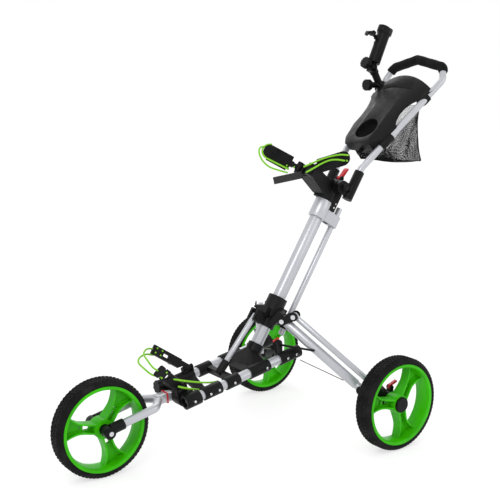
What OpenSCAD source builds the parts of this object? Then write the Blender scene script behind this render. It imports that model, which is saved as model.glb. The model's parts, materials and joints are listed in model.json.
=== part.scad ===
// Three-wheel golf push trolley.
// The front wheel points along -Y, the person pushing stands on the +Y side, +Z is up.
// The origin is on the ground under the middle of the whole trolley.

/* [Wheels] */
// Diameter of all three wheels
wheel_d = 254; // [250:1:260]
// Width of a tyre
tyre_w = 51; // [49:0.5:53]
// Distance from the front axle to the rear axle
wheel_base = 724; // [715:1:730]
// Distance between the middles of the two rear tyres
track = 594; // [588:1:600]
// Outer diameter of the rim flange
rim_d = 220; // [214:1:222]

/* [Frame] */
// Slope of the main column above the ground
column_angle = 58.2; // [57.8:0.1:58.6]
// Diameter of the main column
column_d = 35; // [32:0.5:36]
// Slope of the two bottom rails
rail_angle = 11.5; // [11:0.1:12]
// Sideways distance of each rail from the middle
rail_x = 67; // [66:0.5:68]
// Diameter of the rails
rail_d = 26; // [24:0.5:27]
// Diameter of the front brace
brace_d = 15; // [13:0.5:16]
// Diameter of the rod behind the column
push_rod_d = 17; // [15:0.5:18]

/* [Rear legs] */
// Heading of each leg away from straight sideways
leg_heading = 36; // [35:0.5:37]
// Slope of each leg below the horizontal
leg_slope = 38.15; // [37.5:0.05:38.5]
// Length of a leg between its two pins
leg_length = 280; // [277:1:283]
// Diameter of a leg tube
leg_d = 27; // [25:0.5:28]
// Diameter of the thin link above each leg
link_d = 16; // [14:0.5:17]

/* [Handle] */
// Diameter of the handle tube
handle_d = 19.5; // [18:0.5:21]
// Diameter of the foam grip
grip_d = 28; // [25:0.5:30]
// Slope of the handle above the horizontal
handle_angle = 45; // [44.5:0.1:45.5]
// Inner diameter of the umbrella holder
umbrella_bore_d = 24; // [20:0.5:25]

/* [Hidden] */
$fn = 64;
fine = 96;
hull_fn = 32;
wheel_r = wheel_d / 2;
rim_r = rim_d / 2;
rear_y = 244;
front_y = rear_y - wheel_base;
hub_x = track / 2;
axle_d = 12;
bearing_d = 28;
bearing_w = 8;
pin_d = 8;
running_gap = 0.05;
free_gap = 0.4;

// Point where the column axis starts, at the height of the lower elbow
column_foot = [0, -7, 252];
column_bottom = -46;
column_top = 470;
// Distances along the column
hub_s = 103;
collar_s = 405;
saddle_s = 500;
// Distances behind the column axis
rod_r = 65;
// The hinge of the handle and the pin of the lever, seen along the column
hinge_r = 4;
hinge_s = 508;
lever_r = 18;
lever_s = 540;
lever_pin_d = 5;
collar_x = 52;
handle_root_r = 31;

// Point on the rail line, and the stations along the rails
rail_front = [0, -206, 181.5];
rail_start = -62;
rail_end = 304;
front_sleeve_t = [-72, -27];
cradle_t = [-15, 39];
brace_t = [56, 98];
elbow_t = [134, 198];
end_t = [236, 306];
cross_t = 176;

// The fork
fork_pivot = [0, -258, 172];
fork_crown = [0, -312, 167];
fork_x = 42.5;
fork_d = 22;

// The leg pin at the hub bracket, and the link pin above it
leg_pin = [52, 52, 331];
heading = [cos(leg_heading), sin(leg_heading), 0];
leg_drop = [heading[0] * cos(leg_slope), heading[1] * cos(leg_slope), -sin(leg_slope)];
fold_axis = [heading[1], -heading[0], 0];
link_offset = [26, 18.9, 15];
link_pin = leg_pin + link_offset;
leg_foot = leg_pin + leg_length * leg_drop;
link_foot = link_pin + leg_length * leg_drop;

// The handle, as one side of its symmetrical route
handle_mid = [0, 454, 857];
grip_corner = [100, 594, 1014];
grip_apex = [0, 592, 1037];
handle_shoulder = [118, 574, 977];

// Colours
light_tube = [0.86, 0.88, 0.90];
black = [0.06, 0.06, 0.07];
soft_black = [0.10, 0.10, 0.11];
lime = [0.35, 0.85, 0.10];
green = [0.10, 0.72, 0.06];
red = [0.80, 0.04, 0.06];
steel = [0.70, 0.71, 0.73];

// ---------------------------------------------------------------- placing

// Puts children at a, with their +Z pointing at b
module aim(a, b) {
    v = b - a;
    translate(a) rotate([0, acos(v[2] / norm(v)), atan2(v[1], v[0])]) children();
}

// A round bar between two points
module bar(a, b, d) {
    aim(a, b) cylinder(h = norm(b - a), d = d);
}

// A tube between two points
module pipe(a, b, d, wall) {
    aim(a, b) difference() {
        cylinder(h = norm(b - a), d = d);
        translate([0, 0, -1]) cylinder(h = norm(b - a) + 2, d = d - 2 * wall);
    }
}

// A bar along X, centred on a point
module cross_bar(p, d, w) {
    translate(p) rotate([0, 90, 0]) cylinder(h = w, d = d, center = true);
}

// Children on the left (+X) side as drawn, or mirrored to the right
module on_side(s) {
    if (s > 0) children();
    else mirror([1, 0, 0]) children();
}

// Column frame: X stays, +Y is square behind the column, +Z runs up it
module at_column() {
    translate(column_foot) rotate([column_angle - 90, 0, 0]) children();
}

// Rail frame: +Y runs back along the rails, +Z is square above them
module at_rails() {
    translate(rail_front) rotate([rail_angle, 0, 0]) children();
}

// Handle frame: +Y runs up the handle, +Z is square in front of its plane
module at_handle() {
    translate(handle_mid) rotate([handle_angle, 0, 0]) children();
}

// Points of the column frame in the part's frame
function from_column(p) = column_foot + [
    p[0],
    p[1] * sin(column_angle) + p[2] * cos(column_angle),
    p[2] * sin(column_angle) - p[1] * cos(column_angle)
];

function unit(v) = v / norm(v);

hinge_point = from_column([0, hinge_r, hinge_s]);
lever_pin = from_column([0, lever_r, lever_s]);

// Points of a rounded corner at b, between a and c, turning on radius r
bend_steps = 4;
function corner(a, b, c, r) =
    let (
        u = unit(b - a),
        v = unit(c - b),
        turn = acos(u * v),
        inward = unit(v - (u * v) * u),
        start = b - r * tan(turn / 2) * u
    )
    [for (i = [0 : bend_steps]) let (t = turn * i / bend_steps)
        start + r * sin(t) * u + r * (1 - cos(t)) * inward];

// A route with its inner corners rounded
function rounded(pts, r) = concat(
    [pts[0]],
    [for (i = [1 : len(pts) - 2]) each corner(pts[i - 1], pts[i], pts[i + 1], r)],
    [pts[len(pts) - 1]]
);

// A round bar that follows a rounded route, with a ball in each joint
joint_ball = 0.06;
module bent_bar(pts, d, r) {
    route = rounded(pts, r);
    for (i = [0 : len(route) - 2]) {
        bar(route[i], route[i + 1], d);
        if (i > 0) translate(route[i]) sphere(d = d + joint_ball, $fn = 48);
    }
}

// A cord: rings of eight points swept along a route; its normal is never along the route
cord_sides = 8;
function ring(p, t, r, normal) =
    let (side = unit(cross(t, normal)), up = cross(side, t))
    [for (k = [0 : cord_sides - 1])
        p + r * (cos(k * 360 / cord_sides) * side + sin(k * 360 / cord_sides) * up)];
function tangent(route, i) =
    unit(route[min(i + 1, len(route) - 1)] - route[max(i - 1, 0)]);
module cord(route, d, normal = [0, 0, 1]) {
    n = len(route);
    polyhedron(
        points = [for (i = [0 : n - 1]) each ring(route[i], tangent(route, i), d / 2,
            normal)],
        faces = concat(
            [[for (k = [0 : cord_sides - 1]) k]],
            [for (i = [0 : n - 2]) for (k = [0 : cord_sides - 1])
                let (a = i * cord_sides + k, b = i * cord_sides + (k + 1) % cord_sides)
                [a, a + cord_sides, b + cord_sides, b]],
            [[for (k = [cord_sides - 1 : -1 : 0]) (n - 1) * cord_sides + k]]
        )
    );
}

// A dome-headed rivet or bolt head standing on a face at z = 0
module rivet(d = 7, h = 2.4) {
    cylinder(h = h * 0.5, d = d, $fn = 24);
    translate([0, 0, h * 0.5]) cylinder(h = h * 0.5, d1 = d, d2 = d * 0.6, $fn = 24);
}

// ---------------------------------------------------------------- wheels

// The children stand with their wheel axis along X
module wheel_at(p) {
    translate(p) rotate([0, 90, 0]) children();
}

tyre_inner_r = rim_r - 3;
module tyre() {
    half = tyre_w / 2;
    color(soft_black) rotate_extrude($fn = fine) polygon([
        [tyre_inner_r, -half + 5], [rim_r + 0.3, -half + 4], [rim_r + 1, -half],
        [wheel_r - 8, -half], [wheel_r - 2, -half + 5], [wheel_r, -half + 12],
        [wheel_r, half - 12], [wheel_r - 2, half - 5], [wheel_r - 8, half],
        [rim_r + 1, half], [rim_r + 0.3, half - 4], [tyre_inner_r, half - 5]
    ]);
}

// Half width of a spoke at radius r, flaring into the barrel
function spoke_half(r) = 13 + 24 * pow(max(r - 48, 0) / 55, 2);
spoke_reach = 101;
module spoke_outline(inset) {
    radii = [18, 48, 60, 70, 80, 90, spoke_reach];
    polygon(concat(
        [for (r = radii) [r, spoke_half(r) - inset]],
        [for (i = [len(radii) - 1 : -1 : 0]) [radii[i], -spoke_half(radii[i]) + inset]]
    ));
}

// Two openings in the web, a small one by the hub and one that widens to the barrel
module spoke_opening() {
    polygon([[32, -4], [50, -6.5], [50, 6.5], [32, 4]]);
    polygon([[58, -7], [84, -12], [97, -22], [97, 22], [84, 12], [58, 7]]);
}

spoke_angles = [50, 170, 290];
module rim() {
    half = tyre_w / 2;
    color(green) difference() {
        union() {
            // barrel with its two flanges
            rotate_extrude($fn = fine) polygon([
                [98, -6], [101, -half + 3], [103, -half], [rim_r, -half], [rim_r, -half + 4],
                [tyre_inner_r, -half + 5], [tyre_inner_r, half - 5], [rim_r, half - 4],
                [rim_r, half], [103, half], [101, half - 3], [98, -2]
            ]);
            // hub
            translate([0, 0, -18]) cylinder(h = 38, d = 50);
            // spokes: two deep fins and a recessed web
            intersection() {
                for (a = spoke_angles) rotate(90 + a) {
                    translate([0, 0, -16]) linear_extrude(36) difference() {
                        spoke_outline(0);
                        spoke_outline(4.5);
                    }
                    translate([0, 0, -8]) linear_extrude(9) difference() {
                        spoke_outline(2);
                        spoke_opening();
                    }
                }
                rotate_extrude($fn = fine) polygon([
                    [0, -16], [60, -14], [101, -16], [101, 10], [60, 12], [26, 19], [0, 20]
                ]);
            }
        }
        translate([0, 0, -40]) cylinder(h = 80, d = bearing_d);
    }
}

// Two ball bearings, the tube between them and the outer cap
module hub_fittings(cap) {
    color(black) {
        for (z = [-18, 10]) translate([0, 0, z]) difference() {
            cylinder(h = bearing_w, d = bearing_d);
            translate([0, 0, -1]) cylinder(h = bearing_w + 2, d = axle_d + 2 * running_gap);
        }
        translate([0, 0, -10]) difference() {
            cylinder(h = 20, d = bearing_d);
            translate([0, 0, -1]) cylinder(h = 22, d = bearing_d - 6);
        }
        if (cap > 0) translate([0, 0, 20]) {
            difference() {
                cylinder(h = 5, d = 42);
                translate([0, 0, -1]) cylinder(h = 4, d = axle_d + 10);
            }
            translate([0, 0, 5]) cylinder(h = 3, d1 = 42, d2 = 36);
        }
    }
}

module rear_wheel_at(s) {
    on_side(s) wheel_at([hub_x, rear_y, wheel_r]) children();
}

// ---------------------------------------------------------------- rear legs

// Children stand at a pin, with +Z along the fold axis
module at_fold(p) {
    translate(p) rotate([0, 90, leg_heading - 90]) children();
}
module fold_cylinder(p, d, w) {
    at_fold(p) cylinder(h = w, d = d, center = true);
}

leg_eye_w = 22;
link_eye_w = 12;
module leg_tube() {
    color(light_tube) difference() {
        union() {
            pipe(leg_pin + 20 * leg_drop, leg_pin + (leg_length - 20) * leg_drop, leg_d, 2);
            for (end = [0, leg_length]) {
                fold_cylinder(leg_pin + end * leg_drop, 24, leg_eye_w);
            }
            bar(leg_pin + 4 * leg_drop, leg_pin + 34 * leg_drop, leg_d - 4);
            bar(leg_pin + (leg_length - 34) * leg_drop, leg_pin + (leg_length - 4) * leg_drop,
                leg_d - 4);
        }
        for (end = [0, leg_length]) {
            fold_cylinder(leg_pin + end * leg_drop, pin_d + 2 * running_gap, 60);
        }
        // flats that let the eyes turn between the ears
        for (end = [0, leg_length], face = [-1, 1]) {
            at_fold(leg_pin + end * leg_drop) translate([0, 0, face * (leg_eye_w / 2 + 10)])
                cylinder(h = 20, r = 20, center = true);
        }
    }
}

module link_rod() {
    color(light_tube) difference() {
        union() {
            bar(link_pin + 3 * leg_drop, link_pin + (leg_length - 3) * leg_drop, link_d);
            for (end = [0, leg_length]) {
                fold_cylinder(link_pin + end * leg_drop, 18, link_eye_w);
            }
        }
        for (end = [0, leg_length]) {
            fold_cylinder(link_pin + end * leg_drop, pin_d + 2 * running_gap, 60);
        }
        for (end = [0, leg_length], face = [-1, 1]) {
            at_fold(link_pin + end * leg_drop) translate([0, 0, face * (link_eye_w / 2 + 10)])
                cylinder(h = 20, r = 14, center = true);
        }
    }
}

// Ears and pins that hold a leg and its link, used at both ends
ear_t = 4;
ear_r = 12;
ear_turn = atan2(32.1, -15);
room_w = leg_eye_w + 2 * free_gap + 0.2;
module ear_pair(a) {
    for (face = [-1, 1]) at_fold(a)
        translate([0, 0, face * (leg_eye_w / 2 + free_gap + ear_t / 2)]) {
            cylinder(h = ear_t, r = ear_r, center = true);
            rotate([0, 0, ear_turn]) {
                translate([norm(link_offset), 0, 0]) cylinder(h = ear_t, r = ear_r, center = true);
                translate([0, -ear_r + 1, 0.3 - ear_t / 2])
                    cube([norm(link_offset), 2 * ear_r - 2, ear_t - 0.6]);
            }
        }
}
module leg_pins(a, b) {
    fold_cylinder(a, pin_d, leg_eye_w + 2 * free_gap + 2 * ear_t + 2);
    fold_cylinder(b, pin_d, leg_eye_w + 2 * free_gap + 2 * ear_t + 2);
    for (p = [a, b]) at_fold(p) for (face = [-1, 1])
        translate([0, 0, face * (leg_eye_w / 2 + free_gap + ear_t + 2)])
            cylinder(h = 4, d = 13, center = true);
}

carrier_x = 262;
brake_pin = [carrier_x, rear_y + 12, wheel_r + 32];
brake_pin_d = 5;
module carrier() {
    color(black) leg_pins(leg_foot, link_foot);
    color(black) difference() {
        union() {
            ear_pair(leg_foot);
            // ears and pin of the brake lever
            cross_bar(brake_pin, brake_pin_d, 16);
            for (face = [-1, 1]) {
                cross_bar(brake_pin + [face * (6 + free_gap), 0, 0], 12, 4);
                translate(brake_pin + [face * (6 + free_gap) - 2, -5, -26]) cube([4, 10, 26]);
            }
            hull() {
                translate([carrier_x, rear_y, wheel_r]) rotate([0, 90, 0])
                    cylinder(h = 12, r = 17, center = true, $fn = hull_fn);
                at_fold(leg_foot) translate([16, -2, -15]) cylinder(h = 30, r = 6, $fn = hull_fn);
                at_fold(link_foot) translate([2, 12, -15]) cylinder(h = 30, r = 5, $fn = hull_fn);
            }
        }
        cross_bar([carrier_x, rear_y, wheel_r], axle_d, 60);
        at_fold(leg_foot) cylinder(h = room_w, r = 13.5, center = true);
        at_fold(link_foot) cylinder(h = room_w, r = 12.5, center = true);
    }
}
module axle() {
    color(steel) translate([carrier_x - 6, rear_y, wheel_r]) rotate([0, 90, 0])
        cylinder(h = hub_x + 18 - carrier_x + 6, d = axle_d);
}

// A red paddle that turns on a pin beside the carrier and locks the wheel
module brake_lever() {
    color(red) difference() {
        union() {
            cross_bar(brake_pin, 12, 8);
            translate(brake_pin + [-4, -2, 2]) rotate([20, 0, 0]) cube([8, 26, 6]);
        }
        cross_bar(brake_pin, brake_pin_d + 2 * running_gap, 30);
    }
}
// The flat stay and the thin wire that tie a leg to the rail end
stay_lug = [57, 40, 265];
stay_leg = [136.5, 93, 258];
wire_rail = [67, 100, 214];
wire_leg = [190, 152, 178];
module stays() {
    color(black) bar(stay_lug + 3 * unit(stay_leg - stay_lug),
        stay_leg - 4 * unit(stay_leg - stay_lug), 6);
    color(steel) bar(wire_rail + unit(wire_leg - wire_rail),
        wire_leg - unit(wire_leg - wire_rail), 2.4);
}

// ---------------------------------------------------------------- frame

// The column is one extrusion: a round tube with a flat rib down its back
rib_w = 13;
rib_r = 21;
module column_tube() {
    color(light_tube) at_column() difference() {
        union() {
            translate([0, 0, column_bottom])
                cylinder(h = column_top - column_bottom, d = column_d);
            translate([-rib_w / 2, 0, hub_s + 56]) cube([rib_w, rib_r, collar_s - hub_s - 60]);
        }
        translate([0, 0, column_bottom - 1])
            cylinder(h = column_top - column_bottom + 2, d = column_d - 4);
    }
}

module rail(s) {
    color(light_tube) at_rails() translate([s * rail_x, rail_start, 0]) rotate([-90, 0, 0])
        difference() {
            cylinder(h = rail_end - rail_start, d = rail_d);
            translate([0, 0, -1]) cylinder(h = rail_end - rail_start + 2, d = rail_d - 4);
        }
}

// The space that both rails take out of a casting
module rail_space() {
    for (s = [-1, 1]) at_rails() translate([s * rail_x, rail_start - 100, 0])
        rotate([-90, 0, 0]) cylinder(h = rail_end - rail_start + 200, d = rail_d);
}
module column_space(from, to) {
    at_column() translate([0, 0, from]) cylinder(h = to - from, d = column_d);
}

// A sleeve on both rails between two stations
module rail_sleeves(t, wall = 4) {
    for (s = [-1, 1]) at_rails() translate([s * rail_x, t[0], 0]) rotate([-90, 0, 0])
        cylinder(h = t[1] - t[0], d = rail_d + 2 * wall);
}

brace_top = [0, 2, 354];
brace_foot_t = 86;
brace_foot = rail_front + [0, brace_foot_t * cos(rail_angle) - 6 * sin(rail_angle),
                           brace_foot_t * sin(rail_angle) + 6 * cos(rail_angle)];
module brace_tube() {
    color(light_tube) pipe(brace_foot + 16 * unit(brace_top - brace_foot), brace_top
        - 10 * unit(brace_top - brace_foot), brace_d, 1.6);
}

module hub_bracket() {
    color(black) difference() {
        union() {
            at_column() {
                translate([0, 0, 64]) cylinder(h = 86, d = column_d + 14);
                translate([0, 0, 96]) cylinder(h = 58, d = column_d + 20);
                translate([-30, 4, 84]) cube([60, 22, 46]);
                translate([-20, -34, 88]) cube([40, 20, 26]);
                // cheeks on the top of the brace, with the heads of its bolt
                for (x = [-15.5, 7.5]) translate([x, -58, 64]) cube([8, 44, 32]);
                for (s = [-1, 1]) translate([s * 15, -49.5, 76]) rotate([0, s * 90, 0])
                    cylinder(h = 3.5, d = 11);
            }
            for (s = [-1, 1]) on_side(s) {
                ear_pair(leg_pin);
                hull() {
                    at_fold(leg_pin) translate([4, -26, -15]) cylinder(h = 30, r = 9, $fn = hull_fn);
                    at_fold(link_pin) translate([-2, -40, -15])
                        cylinder(h = 30, r = 9, $fn = hull_fn);
                    at_column() translate([20, 10, 82]) cylinder(h = 46, r = 10, $fn = hull_fn);
                }
            }
            at_column() translate([0, rod_r, 84]) cylinder(h = 34, d = push_rod_d + 9);
            at_column() translate([-7, 20, 90]) cube([14, rod_r - 20, 22]);
        }
        column_space(0, 300);
        at_column() translate([0, rod_r, 0]) cylinder(h = 300, d = push_rod_d + 2 * running_gap);
        // slot for the top of the brace, and the legs' turning room
        translate([-7.7, -60, 300]) cube([15.4, 60, 90]);
        for (s = [-1, 1]) on_side(s) leg_room();
    }
}

// The two bolt holes, and the room for a leg and its link between the ears
module leg_room() {
    fold_cylinder(leg_pin, pin_d, 60);
    fold_cylinder(link_pin, pin_d, 60);
    at_fold(leg_pin) cylinder(h = room_w + 0.2, r = 15, center = true);
    at_fold(leg_pin) rotate([0, 0, ear_turn]) translate([-4, -14, -room_w / 2])
        cube([norm(link_offset) + 18, 28, room_w]);
}

module elbow_casting() {
    color(black) difference() {
        union() {
            rail_sleeves(elbow_t);
            at_column() translate([0, 0, -34]) cylinder(h = 46, d = column_d + 10);
            hull() {
                at_column() translate([0, 0, -34]) cylinder(h = 26, d = column_d + 8, $fn = hull_fn);
                at_rails() for (s = [-1, 1]) translate([s * (rail_x - 16), cross_t - 22, -10])
                    cylinder(h = 22, r = 9, $fn = hull_fn);
                at_rails() for (s = [-1, 1]) translate([s * (rail_x - 16), cross_t + 12, -10])
                    cylinder(h = 22, r = 9, $fn = hull_fn);
            }
        }
        rail_space();
        column_space(column_bottom, 200);
    }
}

module brace_clamp() {
    color(black) difference() {
        union() {
            rail_sleeves(brace_t);
            at_rails() translate([-rail_x, brace_foot_t - 7, -9]) cube([2 * rail_x, 14, 18]);
            aim(brace_foot, brace_top) translate([0, 0, -10]) cylinder(h = 44, d = brace_d + 8);
        }
        rail_space();
        aim(brace_foot, brace_top) translate([0, 0, 16]) cylinder(h = 60, d = brace_d);
    }
}

// Cross casting at the front that joins the rails and carries the fork's hinge
front_d = 50;
tongue_w = 26;
module front_block() {
    color(black) difference() {
        union() {
            rail_sleeves(front_sleeve_t, 6);
            cross_bar(fork_pivot, front_d, 100);
            arm_lugs(left_lower_pin, 22);
            for (s = [-1, 1]) {
                hull() {
                    at_rails() translate([s * rail_x, front_sleeve_t[0] + 1, 0])
                        rotate([-90, 0, 0]) cylinder(h = 30, d = rail_d + 10, $fn = hull_fn);
                    translate(fork_pivot + [s * 40, 0, 0]) rotate([0, 90, 0])
                        cylinder(h = 16, d = front_d - 6, center = true, $fn = hull_fn);
                }
            }
        }
        rail_space();
        translate(fork_pivot + [-tongue_w / 2 - free_gap, -60, -60])
            cube([tongue_w + 2 * free_gap, 60 + 18, 60 + 15]);
        cross_bar(fork_pivot, pin_d, 200);
        translate(fork_pivot + [-36, -60, 14]) rotate([-90, 0, 0])
            cylinder(h = 60, d = pin_d + 2 * running_gap);
    }
}

module rail_end_brackets() {
    color(black) for (s = [-1, 1]) on_side(s) difference() {
        union() {
            at_rails() translate([rail_x, end_t[0], 0]) rotate([-90, 0, 0])
                cylinder(h = end_t[1] - end_t[0], d = rail_d + 8);
            hull() {
                at_rails() translate([rail_x - 9, end_t[0] + 10, 8]) cylinder(h = 8, r = 10,
                    $fn = hull_fn);
                translate(stay_lug + [-12, 0, 0]) rotate([0, 90, 0])
                    cylinder(h = 8, r = 12, center = true, $fn = hull_fn);
            }
        }
        rail_space();
    }
}

module head_casting() {
    color(black) difference() {
        union() {
            at_column() {
                // sleeve on the column, the bridge behind it and the hinge barrel
                translate([0, 0, collar_s + 55]) cylinder(h = 60, d = column_d + 12);
                translate([-17, 8, collar_s + 36.5]) cube([34, 30, 81.5]);
                translate([-22, -26, collar_s + 56]) cube([44, 52, 58]);
            }
            cross_bar(hinge_point, 40, 72);
            // ears and pin of the lever
            cross_bar(lever_pin, lever_pin_d, 22);
            for (face = [-1, 1]) cross_bar(lever_pin + [face * 8.5, 0, 0], 13, 4);
            at_column() for (face = [-1, 1]) translate([face * 8.5 - 1.7, lever_r - 6, lever_s - 26])
                cube([3.4, 12, 26]);
        }
        at_column() {
            cylinder(h = column_top, d = column_d);
            translate([0, 0, collar_s - 30]) cylinder(h = 85, d = column_d + 14);
        }
        cross_bar(hinge_point, 12 + 2 * running_gap, 200);
    }
}

plate_x = 14;
module guide_collar() {
    color(light_tube) at_column() difference() {
        union() {
            translate([0, 0, collar_s]) cylinder(h = 54, d = column_d + 13);
            translate([-plate_x, 0, collar_s + 2]) cube([2 * plate_x, rod_r, 34]);
            translate([0, rod_r, collar_s + 2]) cylinder(h = 34, r = plate_x);
        }
        cylinder(h = column_top, d = column_d);
        translate([0, rod_r, 0]) cylinder(h = 600, d = push_rod_d + 2 * running_gap);
        translate([-plate_x + 3, column_d / 2 + 9, collar_s - 1])
            cube([2 * plate_x - 6, rod_r - column_d / 2 - 24, 60]);
        // rounded inner corner under the black bridge
        translate([-20, column_d / 2 + 7, collar_s + 36]) cube([40, 60, 60]);
    }
}

module push_rod() {
    color(light_tube) at_column() difference() {
        translate([0, rod_r, 66]) cylinder(h = 400, d = push_rod_d);
        translate([0, rod_r, 60]) cylinder(h = 380, d = push_rod_d - 3);
    }
}

// ---------------------------------------------------------------- bag brackets

// Upper saddle: reaches forward from the top of the column, square to it
arm_pin_x = 24;
arm_pin_r = -112;
arm_pin_d = 7;
arm_eye_h = 20;
module upper_saddle() {
    color(black) at_column() difference() {
        union() {
            hull() {
                translate([-23, -32, collar_s + 62]) cube([46, 14, 44]);
                translate([-30, -96, saddle_s - 14]) cube([60, 8, 30]);
            }
            translate([-30, -102, saddle_s - 12]) cube([60, 14, 26]);
            for (s = [-1, 1], z = [-16, 12]) translate([s * arm_pin_x, arm_pin_r, saddle_s + z])
                cylinder(h = 5, d = 16);
            for (s = [-1, 1], z = [-16, 12]) translate([s * arm_pin_x - 7.5, arm_pin_r,
                saddle_s + z]) cube([15, 14, 5]);
            for (s = [-1, 1]) translate([s * arm_pin_x, arm_pin_r, saddle_s - 16])
                cylinder(h = 33, d = arm_pin_d);
        }
        // room for the turning eyes
        for (s = [-1, 1]) translate([s * arm_pin_x, arm_pin_r, saddle_s - 11])
            difference() {
                cylinder(h = 23, r = 12);
                translate([0, 0, -1]) cylinder(h = 25, d = arm_pin_d);
            }
        translate([0, 0, collar_s]) cylinder(h = 200, d = column_d + 14);
        translate([-22.5, -26, collar_s + 56]) cube([45, 60, 62]);
    }
}

// A padded wing on a turning eye; +X runs out along the wing
pad_start = 26;
pad_t = 14;
module arm_wing(lift, reach, tall) {
    difference() {
        union() {
            translate([0, 0, -arm_eye_h / 2]) cylinder(h = arm_eye_h, d = 18);
            translate([0, -4.5, -6]) cube([17, 9, 12]);
            rotate([0, -lift, 0]) {
                translate([13, -5, -7]) cube([18, 10, 11]);
                rotate([90, 0, 0]) linear_extrude(pad_t, center = true) union() {
                    translate([pad_start, -tall / 2 + 4])
                        square([reach - pad_start - tall / 2, tall - 4]);
                    translate([reach - tall / 2, 1]) circle(d = tall - 2);
                    translate([pad_start - 3, -10]) square([10, 20]);
                }
            }
        }
        cylinder(h = 60, d = arm_pin_d + 2 * running_gap, center = true);
        // the eye's flat faces stay clear of the saddle's lugs
        for (z = [-1, 1]) translate([0, 0, z * (arm_eye_h / 2 + 10)])
            cylinder(h = 20, r = 11.5, center = true);
    }
}
right_wing_turn = 234;
right_wing_lift = 3;
right_reach = 110;
right_tall = 40;
left_wing_turn = 20;
left_wing_lift = 33;
left_reach = 118;
left_tall = 42;
module upper_arm_right() {
    color(soft_black) at_column() translate([-arm_pin_x, arm_pin_r, saddle_s + 0.5])
        rotate([0, 0, right_wing_turn]) arm_wing(right_wing_lift, right_reach, right_tall);
}
module upper_arm_left() {
    color(soft_black) at_column() translate([arm_pin_x, arm_pin_r, saddle_s + 0.5])
        rotate([0, 0, left_wing_turn]) arm_wing(left_wing_lift, left_reach, left_tall);
}
// A point on a wing: [out along it, off its outer face, up its height]
function on_wing(s, turn, lift, p) = from_column([s * arm_pin_x, arm_pin_r, saddle_s + 0.5]
    + p[0] * [cos(turn) * cos(lift), sin(turn) * cos(lift), sin(lift)]
    + p[1] * [-sin(turn), cos(turn), 0]
    + p[2] * [-cos(turn) * sin(lift), -sin(turn) * sin(lift), cos(lift)]);
function on_right(p) = on_wing(-1, right_wing_turn, right_wing_lift, p);
function on_left(p) = on_wing(1, left_wing_turn, left_wing_lift, p);

// Loose tail of the bag's webbing strap
strap_top = from_column([-3, -106, 484]);
strap_tail = from_column([-52, -150, 436]);
module bag_strap() {
    color(black) aim(strap_top, strap_tail) rotate([0, 0, 96]) translate([-1, -10, 0])
        cube([2, 20, norm(strap_tail - strap_top)]);
}

// Lower saddle: two sleeves on the rails and a sagging bridge between them
lower_pin_d = 7;
right_lower_pin = [-62, 24, 25.5];
left_lower_pin = [44, -62, 36];
module lower_saddle() {
    color(black) difference() {
        union() {
            rail_sleeves(cradle_t);
            at_rails() for (s = [-1, 1]) hull() {
                translate([s * (rail_x - 12), 6, -8]) cube([4, 30, 12]);
                translate([-4, 10, -30]) cube([8, 24, 8]);
            }
            arm_lugs(right_lower_pin, 14);
        }
        rail_space();
    }
}

// Two lugs and the pin of a lower arm, on feet that reach down into the casting
module arm_lugs(p, foot) {
    at_rails() translate(p) rotate([90, 0, 0]) {
        cylinder(h = 34, d = lower_pin_d, center = true);
        for (z = [-1, 1]) translate([0, 0, z * 14]) {
            cylinder(h = 5, d = 14, center = true);
            translate([-6.5, -foot, -2.2]) cube([13, foot, 4.4]);
        }
    }
}

// An arm that stands up from the rails; +Z runs up the arm
lower_reach = 112;
module lower_arm(turn, lean, prongs) {
    difference() {
        union() {
            rotate([90, 0, 0]) cylinder(h = 20, d = 14, center = true);
            rotate([lean, turn, 0]) {
                translate([-4, -10, 0]) cube([8, 20, 30]);
                translate([-4.5, -13, 24]) cube([9, 26, lower_reach - 24]);
                translate([-9, -13, 46]) cube([12, 26, 8]);
                if (prongs) for (y = [-16, 10], z = [70, 96])
                    translate([-4, y, z]) cube([7, 6, 14]);
            }
        }
        rotate([90, 0, 0]) cylinder(h = 60, d = lower_pin_d + 2 * running_gap, center = true);
        for (z = [-1, 1]) translate([0, z * 20, 0]) rotate([90, 0, 0])
            cylinder(h = 20, r = 10, center = true);
        // slot through the arm
        rotate([lean, turn, 0]) translate([-20, -5, 62]) cube([40, 10, 16]);
    }
}
module lower_arm_right() {
    color(soft_black) at_rails() translate(right_lower_pin) lower_arm(-22, 42, false);
}
module lower_arm_left() {
    color(soft_black) at_rails() translate(left_lower_pin) lower_arm(22, 38, true);
}

// Elastic cords of the two bag brackets
cord_d = 5;
right_loop = [for (p = [
    [24, 9, -20], [44, 9, -20.5], [66, 8, -21], [86, 7, -22], [97, 6, -21.5],
    [106.5, 5, -16], [112.5, 4, -7.5], [113.5, 3, 2], [109, 1, 15], [99, 0, 22.5]
]) on_right(p)];
right_outer_loop = [for (p = [
    [22, 9, -30], [46, 10, -36], [72, 10, -40], [96, 8, -34], [114, 7, -21], [121, 6, -8],
    [119, 6, 0], [115, 6, 5]
]) on_right(p)];
left_cord_upper = [for (p = [
    [-10, -14, 4], [18, -12, 9], [44, -11.5, 12], [70, -11, 12], [96, -11, 8], [116, -10.5, 0]
]) on_left(p)];
left_cord_lower = [for (p = [
    [-4, -16, -16], [20, -13, -8], [44, -11.5, -1], [66, -11, 1], [86, -11, -4],
    [104, -10.5, -13]
]) on_left(p)];
belt_high = [
    [-90, -281, 274], [-80, -297, 279], [-60, -318, 281], [-30, -337, 281], [10, -351, 279],
    [45, -358, 273], [68, -364, 273]
];
belt_low = [
    [-90, -282, 257], [-82, -302, 264], [-60, -333, 266], [-25, -357, 265], [12, -366, 263],
    [48, -368, 256], [62, -364, 254]
];
tie_high = [
    [64, -291, 231], [60, -276, 226], [54, -230, 211], [50, -192, 203], [46, -162, 200]
];
tie_low = [
    [64, -276, 208], [60, -262, 203], [55, -240, 197], [53, -229, 194]
];
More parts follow.
